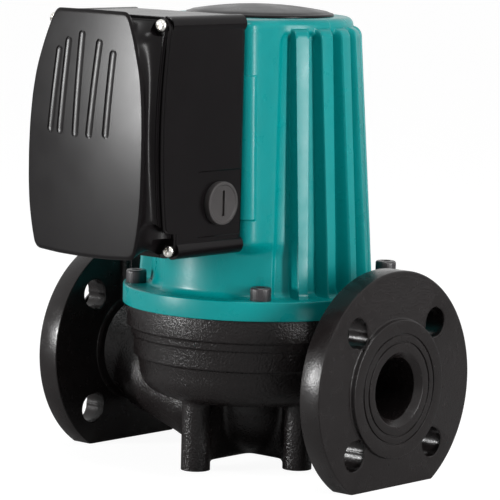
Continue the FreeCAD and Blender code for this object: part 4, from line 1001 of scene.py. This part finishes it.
def build_plug():
    """Blanking plug with a raised rim and one upright slot."""
    forward, height = ENTRY
    profile = soften(((0, 43), (12.3, 43, 0.4), (12.3, 50, 0), (13.6, 50, 0.3), (13.6, 53.2, 0.9), (11.6, 53.2, 0.3),
                      (11.2, 52.7, 0.3), (0, 52.7)), 0.4, closed=False)
    plug = lathe("entry_plug", profile, "+X", (0, -forward, height), steps=128)
    cut(plug, brick("slot", (51.2, -forward - 1.3, height - 8), (56, -forward + 1.3, height + 8)))
    return smooth(plug, 32)


def build_cap():
    """Low blank dome on the motor, with a shallow step near its rim."""
    rim, skirt, rise = 48.0, 1.6, 5.4
    profile = [(0, HOUSING_TOP - 4), (12.0, HOUSING_TOP - 4, 0), (12.0, HOUSING_TOP, 0), (rim, HOUSING_TOP, 0.3),
               (rim, HOUSING_TOP + skirt, 0.9), (rim - 2.2, HOUSING_TOP + skirt + 0.5, 0.4)]
    for share in (0.92, 0.84, 0.74, 0.62, 0.5, 0.36, 0.22, 0.1):
        profile.append((rim * share, HOUSING_TOP + skirt + 0.5 + (rise - 0.5) * (1 - share ** 2), 0))
    profile.append((0, HOUSING_TOP + skirt + rise))
    return smooth(lathe("dome_cap", soften(profile, 0.3, closed=False), steps=192), 32)


# Fasteners

def screw_tree(name):
    """Nodes that set one head on each point, scale it, turn it and make it real."""
    tree = bpy.data.node_groups.new(name, "GeometryNodeTree")
    face = tree.interface
    for title, kind, default in (("Geometry", "NodeSocketGeometry", None), ("Head", "NodeSocketObject", None),
                                 ("Head Radius", "NodeSocketFloat", 0.005), ("Head Height", "NodeSocketFloat", 0.005),
                                 ("Tilt", "NodeSocketFloat", 0.0), ("Turn Seed", "NodeSocketInt", 0),
                                 ("Finish", "NodeSocketMaterial", None)):
        socket = face.new_socket(title, in_out="INPUT", socket_type=kind)
        if default is not None:
            socket.default_value = default
    face.new_socket("Geometry", in_out="OUTPUT", socket_type="NodeSocketGeometry")
    new, link = tree.nodes.new, tree.links.new
    entry, leave = new("NodeGroupInput"), new("NodeGroupOutput")
    head = new("GeometryNodeObjectInfo")
    link(entry.outputs["Head"], head.inputs["Object"])
    points = new("GeometryNodeMeshToPoints")
    link(entry.outputs["Geometry"], points.inputs["Mesh"])
    size = new("ShaderNodeCombineXYZ")
    for axis, source in (("X", "Head Radius"), ("Y", "Head Radius"), ("Z", "Head Height")):
        link(entry.outputs[source], size.inputs[axis])
    tilt = new("ShaderNodeCombineXYZ")
    link(entry.outputs["Tilt"], tilt.inputs["X"])
    place = new("GeometryNodeInstanceOnPoints")
    link(points.outputs["Points"], place.inputs["Points"])
    link(head.outputs["Geometry"], place.inputs["Instance"])
    link(tilt.outputs["Vector"], place.inputs["Rotation"])
    link(size.outputs["Vector"], place.inputs["Scale"])
    chance = new("FunctionNodeRandomValue")
    chance.data_type = "FLOAT"
    low, high = [s for s in chance.inputs if s.name in ("Min", "Max") and s.type == "VALUE"][:2]
    low.default_value, high.default_value = 0.0, 2 * math.pi
    link(entry.outputs["Turn Seed"], chance.inputs["Seed"])
    spin = new("ShaderNodeCombineXYZ")
    link(next(s for s in chance.outputs if s.type == "VALUE" and s.enabled), spin.inputs["Z"])
    turn = new("GeometryNodeRotateInstances")
    turn.inputs["Local Space"].default_value = True
    link(place.outputs["Instances"], turn.inputs["Instances"])
    link(spin.outputs["Vector"], turn.inputs["Rotation"])
    real = new("GeometryNodeRealizeInstances")
    link(turn.outputs["Instances"], real.inputs["Geometry"])
    finish = new("GeometryNodeSetMaterial")
    link(real.outputs["Geometry"], finish.inputs["Geometry"])
    link(entry.outputs["Finish"], finish.inputs["Material"])
    link(finish.outputs["Geometry"], leave.inputs["Geometry"])
    return tree


def scatter(name, head, points, radius, height, tilt, seed, slot):
    """Sets heads on points through the node tree and returns one plain mesh."""
    tree = screw_tree(name + " nodes")
    made = piece(name, points, [])
    modifier = made.modifiers.new("Heads", "NODES")
    modifier.node_group = tree
    values = {"Head": head, "Head Radius": radius, "Head Height": height, "Tilt": tilt, "Turn Seed": seed,
              "Finish": material(slot)}
    for item in tree.interface.items_tree:
        if item.item_type == "SOCKET" and item.in_out == "INPUT" and item.name in values:
            modifier[item.identifier] = values[item.name]
    settle(made)
    bpy.data.objects.remove(head, do_unlink=True)
    if not made.data.polygons:
        raise RuntimeError(name + ": the node tree made no heads")
    return smooth(outward(made), 32)


def socket_head():
    """Knurled socket head of unit radius and height, with its hexagon and shank."""
    profile = soften(((0, -2.6), (0.6, -2.6, 0), (0.6, 0, 0), (0.97, 0, 0), (1.0, 0.06, 0), (1.0, 0.88, 0.03),
                      (0.9, 1.0, 0.05), (0, 1.0)), 0.05, closed=False)
    scale = 1 / MM
    knurl = lathe("socket_head", [(r * scale, z * scale) for r, z in profile], steps=216,
                  ripple=lambda turns: 1 - 0.012 * (0.5 - 0.5 * np.cos(36 * turns)))
    turns = np.radians(np.arange(6) * 60.0)
    rings = [np.stack([0.53 * scale * np.cos(turns), 0.53 * scale * np.sin(turns), np.full(6, z * scale)], 1)
             for z in (0.45, 1.3)]
    cut(knurl, loft("hexagon", rings))
    return knurl


def pan_head():
    """Pan head of unit radius and height with a cross recess and a shank."""
    profile = soften(((0, -4.6), (0.5, -4.6, 0), (0.5, 0, 0), (0.97, 0, 0.03), (1.0, 0.35, 0.1), (0.9, 0.72, 0.15),
                      (0.62, 0.94, 0.1), (0, 1.0)), 0.1, closed=False)
    scale = 1 / MM
    head = lathe("pan_head", [(r * scale, z * scale) for r, z in profile], steps=96)
    for half_x, half_y in ((0.56, 0.13), (0.13, 0.56)):
        low = (-half_x * scale, -half_y * scale, 0.4 * scale)
        high = (half_x * scale, half_y * scale, 1.4 * scale)
        cut(head, brick("cross", low, high))
    return head


# Stage

CAMERA_TURN, CAMERA_RISE, CAMERA_ROLL = 41.28, 7.14, 1.44
CAMERA_DISTANCE, CAMERA_LENS = 2.053, 225.9
CAMERA_AIM = (-0.00248, 0.13893)


def place_camera():
    a, e, r = (math.radians(v) for v in (CAMERA_TURN, CAMERA_RISE, CAMERA_ROLL))
    back = Vector((math.sin(a) * math.cos(e), -math.cos(a) * math.cos(e), math.sin(e)))
    right = Vector((math.cos(a), math.sin(a), 0))
    up = back.cross(right)
    rolled_right = right * math.cos(r) + up * math.sin(r)
    rolled_up = up * math.cos(r) - right * math.sin(r)
    target = right * CAMERA_AIM[0] + Vector((0, 0, CAMERA_AIM[1]))
    lens = bpy.data.cameras.new("camera")
    lens.lens = CAMERA_LENS
    lens.sensor_width = 36.0
    lens.clip_end = 50.0
    camera = bpy.data.objects.new("camera", lens)
    bpy.context.scene.collection.objects.link(camera)
    matrix = Matrix((rolled_right, rolled_up, back)).transposed().to_4x4()
    matrix.translation = target + back * CAMERA_DISTANCE
    camera.matrix_world = matrix
    bpy.context.scene.camera = camera


def softbox(name, place, aim, width, height, watts):
    """A rectangular soft lamp that points at a place on the pump."""
    lamp = bpy.data.lights.new(name, "AREA")
    lamp.shape = "RECTANGLE"
    lamp.size, lamp.size_y = width, height
    lamp.energy = watts
    made = bpy.data.objects.new(name, lamp)
    bpy.context.scene.collection.objects.link(made)
    made.location = place
    made.rotation_euler = (Vector(aim) - Vector(place)).to_track_quat("-Z", "Y").to_euler()


def white_world():
    """White behind the pump for the camera and for reflections, dimmer as a light."""
    world = bpy.data.worlds.new("studio")
    bpy.context.scene.world = world
    world.use_nodes = True
    tree = world.node_tree
    ground = tree.nodes["Background"]
    ground.inputs["Color"].default_value = (1, 1, 1, 1)
    rays = tree.nodes.new("ShaderNodeLightPath")
    seen = tree.nodes.new("ShaderNodeMath")
    seen.operation = "MAXIMUM"
    tree.links.new(rays.outputs["Is Camera Ray"], seen.inputs[0])
    tree.links.new(rays.outputs["Is Transmission Ray"], seen.inputs[1])
    level = tree.nodes.new("ShaderNodeMapRange")
    level.inputs["To Min"].default_value = 0.1
    level.inputs["To Max"].default_value = 1.0
    both = tree.nodes.new("ShaderNodeMath")
    both.operation = "MAXIMUM"
    tree.links.new(seen.outputs[0], both.inputs[0])
    tree.links.new(rays.outputs["Is Glossy Ray"], both.inputs[1])
    tree.links.new(both.outputs[0], level.inputs["Value"])
    tree.links.new(level.outputs["Result"], ground.inputs["Strength"])


def floor_finish():
    """Pale floor that goes to plain white where the camera sees it lit, and keeps the shadow."""
    made = bpy.data.materials.new("pale floor")
    made.use_nodes = True
    tree = made.node_tree
    paint = tree.nodes["Principled BSDF"]
    paint.inputs["Base Color"].default_value = (0.6, 0.6, 0.6, 1)
    paint.inputs["Roughness"].default_value = 0.7
    grain = tree.nodes.new("ShaderNodeTexNoise")
    grain.inputs["Scale"].default_value = 60.0
    place = tree.nodes.new("ShaderNodeTexCoord")
    tree.links.new(place.outputs["Object"], grain.inputs["Vector"])
    relief = tree.nodes.new("ShaderNodeBump")
    relief.inputs["Strength"].default_value = 0.03
    tree.links.new(grain.outputs["Fac"], relief.inputs["Height"])
    tree.links.new(relief.outputs["Normal"], paint.inputs["Normal"])
    white = tree.nodes.new("ShaderNodeEmission")
    white.inputs["Color"].default_value = (1, 1, 1, 1)
    white.inputs["Strength"].default_value = 1.3
    rays = tree.nodes.new("ShaderNodeLightPath")
    seen = tree.nodes.new("ShaderNodeMath")
    seen.operation = "MAXIMUM"
    share = tree.nodes.new("ShaderNodeMath")
    share.operation = "MULTIPLY"
    share.inputs[1].default_value = 0.72
    mix = tree.nodes.new("ShaderNodeMixShader")
    tree.links.new(rays.outputs["Is Camera Ray"], seen.inputs[0])
    tree.links.new(rays.outputs["Is Transmission Ray"], seen.inputs[1])
    tree.links.new(seen.outputs[0], share.inputs[0])
    tree.links.new(share.outputs[0], mix.inputs["Fac"])
    tree.links.new(paint.outputs["BSDF"], mix.inputs[1])
    tree.links.new(white.outputs["Emission"], mix.inputs[2])
    tree.links.new(mix.outputs["Shader"], tree.nodes["Material Output"].inputs["Surface"])
    return made


# Operators

class PUMP_OT_finishes(bpy.types.Operator):
    """Make a finish for each material slot and put it on the pieces that come from the frame"""
    bl_idname = "pump.finishes"
    bl_label = "Finishes"

    def execute(self, context):
        made = slot_finishes(context.scene.pump_colours)
        for slot, finish in made.items():
            finish["pump_slot"] = slot
        for part in frame["record"]["subparts"]:
            node = frame["nodes"][part["node"]]
            node.data.materials.clear()
            node.data.materials.append(made[part["material_slot"]])
        return {"FINISHED"}


class PUMP_OT_housing(bpy.types.Operator):
    """Build the finned motor housing"""
    bl_idname = "pump.housing"
    bl_label = "Motor Housing"

    def execute(self, context):
        deliver(build_housing(context.scene.pump_housing), "housing_teal", "pump", "motor_housing")
        return {"FINISHED"}


class PUMP_OT_casing(bpy.types.Operator):
    """Build the cast casing between the pipe flanges"""
    bl_idname = "pump.casing"
    bl_label = "Casing"

    def execute(self, context):
        deliver(build_casing(context.scene.pump_casting), "cast_iron_black", "pump", "volute_casing")
        return {"FINISHED"}


class PUMP_OT_flanges(bpy.types.Operator):
    """Build both pipe flanges"""
    bl_idname = "pump.flanges"
    bl_label = "Pipe Flanges"

    def execute(self, context):
        finish = iron_finish(context.scene.pump_colours, "black machined flange", machined=True)
        for side, sign in (("inlet", -1), ("outlet", 1)):
            made = build_flange(side, sign, context.scene.pump_casting)
            deliver(made, "cast_iron_black", "pump", finish=finish)
        return {"FINISHED"}


class PUMP_OT_box(bpy.types.Operator):
    """Build the terminal box and its blanking plug"""
    bl_idname = "pump.box"
    bl_label = "Terminal Box"

    def execute(self, context):
        deliver(build_tray(context.scene.pump_box), "box_plastic", "pump", "terminal_box")
        deliver(build_plug(), "plug_grey", "pump", "blanking_plug")
        return {"FINISHED"}


class PUMP_OT_lid(bpy.types.Operator):
    """Build the lid of the terminal box"""
    bl_idname = "pump.lid"
    bl_label = "Box Lid"

    def execute(self, context):
        deliver(build_lid(context.scene.pump_box), "box_plastic", "cover", "terminal_cover")
        return {"FINISHED"}


class PUMP_OT_cap(bpy.types.Operator):
    """Build the domed cap on the motor"""
    bl_idname = "pump.cap"
    bl_label = "Motor Cap"

    def execute(self, context):
        deliver(build_cap(), "cap_black", "pump", "motor_cap")
        return {"FINISHED"}


class PUMP_OT_fasteners(bpy.types.Operator):
    """Build the motor bolts and the lid's screws"""
    bl_idname = "pump.fasteners"
    bl_label = "Bolts and Screws"

    def execute(self, context):
        sizes = context.scene.pump_fasteners
        bolts = scatter("motor_bolt_heads", socket_head(), BOLT_PLACES, sizes.bolt_radius, sizes.bolt_height,
                        0.0, sizes.turn_seed, "bolt_black")
        deliver(bolts, "bolt_black", "pump", "motor_bolts")
        box = context.scene.pump_box
        places = [(side * corner["x"], -seam(corner["z"], box) - corner["seat"], corner["z"])
                  for side, corner in SCREW_CORNERS]
        screws = scatter("lid_screws", pan_head(), places, sizes.screw_radius, sizes.screw_height,
                         math.pi / 2, sizes.turn_seed + 1, "screw_zinc")
        deliver(screws, "screw_zinc", "cover", "cover_screws")
        return {"FINISHED"}


class PUMP_OT_stage(bpy.types.Operator):
    """Set up the floor, the soft lamps, the white surroundings and the camera"""
    bl_idname = "pump.stage"
    bl_label = "Stage"

    def execute(self, context):
        context.scene.view_settings.view_transform = "Standard"
        floor = piece("floor", [(-9000, -9000, 0), (9000, -9000, 0), (9000, 9000, 0), (-9000, 9000, 0)],
                      [(0, 1, 2, 3)])
        floor.data.materials.append(floor_finish())
        place_camera()
        white_world()
        aim = (0, 0, 0.15)
        softbox("key", (1.72, 0.12, 0.5), aim, 0.2, 1.1, 27.0)
        softbox("fill", (-0.89, -1.48, 0.34), aim, 0.2, 0.4, 26.0)
        softbox("top", (0.3, -0.5, 1.7), aim, 0.5, 0.5, 9.0)
        return {"FINISHED"}


class PUMP_PT_pieces(bpy.types.Panel):
    """Lists the steps that build the pump, with their sizes"""
    bl_idname = "PUMP_PT_pieces"
    bl_label = "Circulating Pump"
    bl_space_type = "VIEW_3D"
    bl_region_type = "UI"
    bl_category = "Pump"

    def draw(self, context):
        for operator in OPERATORS:
            self.layout.operator(operator.bl_idname)
        for name, group in SETTINGS:
            box = self.layout.box()
            box.label(text=name.replace("pump_", "").title())
            for field in group.__annotations__:
                box.prop(getattr(context.scene, name), field)


SETTINGS = (
    ("pump_housing", PumpHousingSizes),
    ("pump_casting", PumpCastingSizes),
    ("pump_box", PumpBoxSizes),
    ("pump_fasteners", PumpFastenerSizes),
    ("pump_colours", PumpColours),
)
OPERATORS = (PUMP_OT_finishes, PUMP_OT_housing, PUMP_OT_casing, PUMP_OT_flanges, PUMP_OT_box, PUMP_OT_lid,
             PUMP_OT_cap, PUMP_OT_fasteners, PUMP_OT_stage)


def register():
    for name, group in SETTINGS:
        bpy.utils.register_class(group)
        setattr(bpy.types.Scene, name, PointerProperty(type=group))
    for operator in OPERATORS:
        bpy.utils.register_class(operator)
    bpy.utils.register_class(PUMP_PT_pieces)


def unregister():
    bpy.utils.unregister_class(PUMP_PT_pieces)
    for operator in reversed(OPERATORS):
        bpy.utils.unregister_class(operator)
    for name, group in reversed(SETTINGS):
        delattr(bpy.types.Scene, name)
        bpy.utils.unregister_class(group)


def main():
    register()
    for operator in OPERATORS:
        family, name = operator.bl_idname.split(".")
        getattr(getattr(bpy.ops, family), name)()


if __name__ == "__main__":
    main()
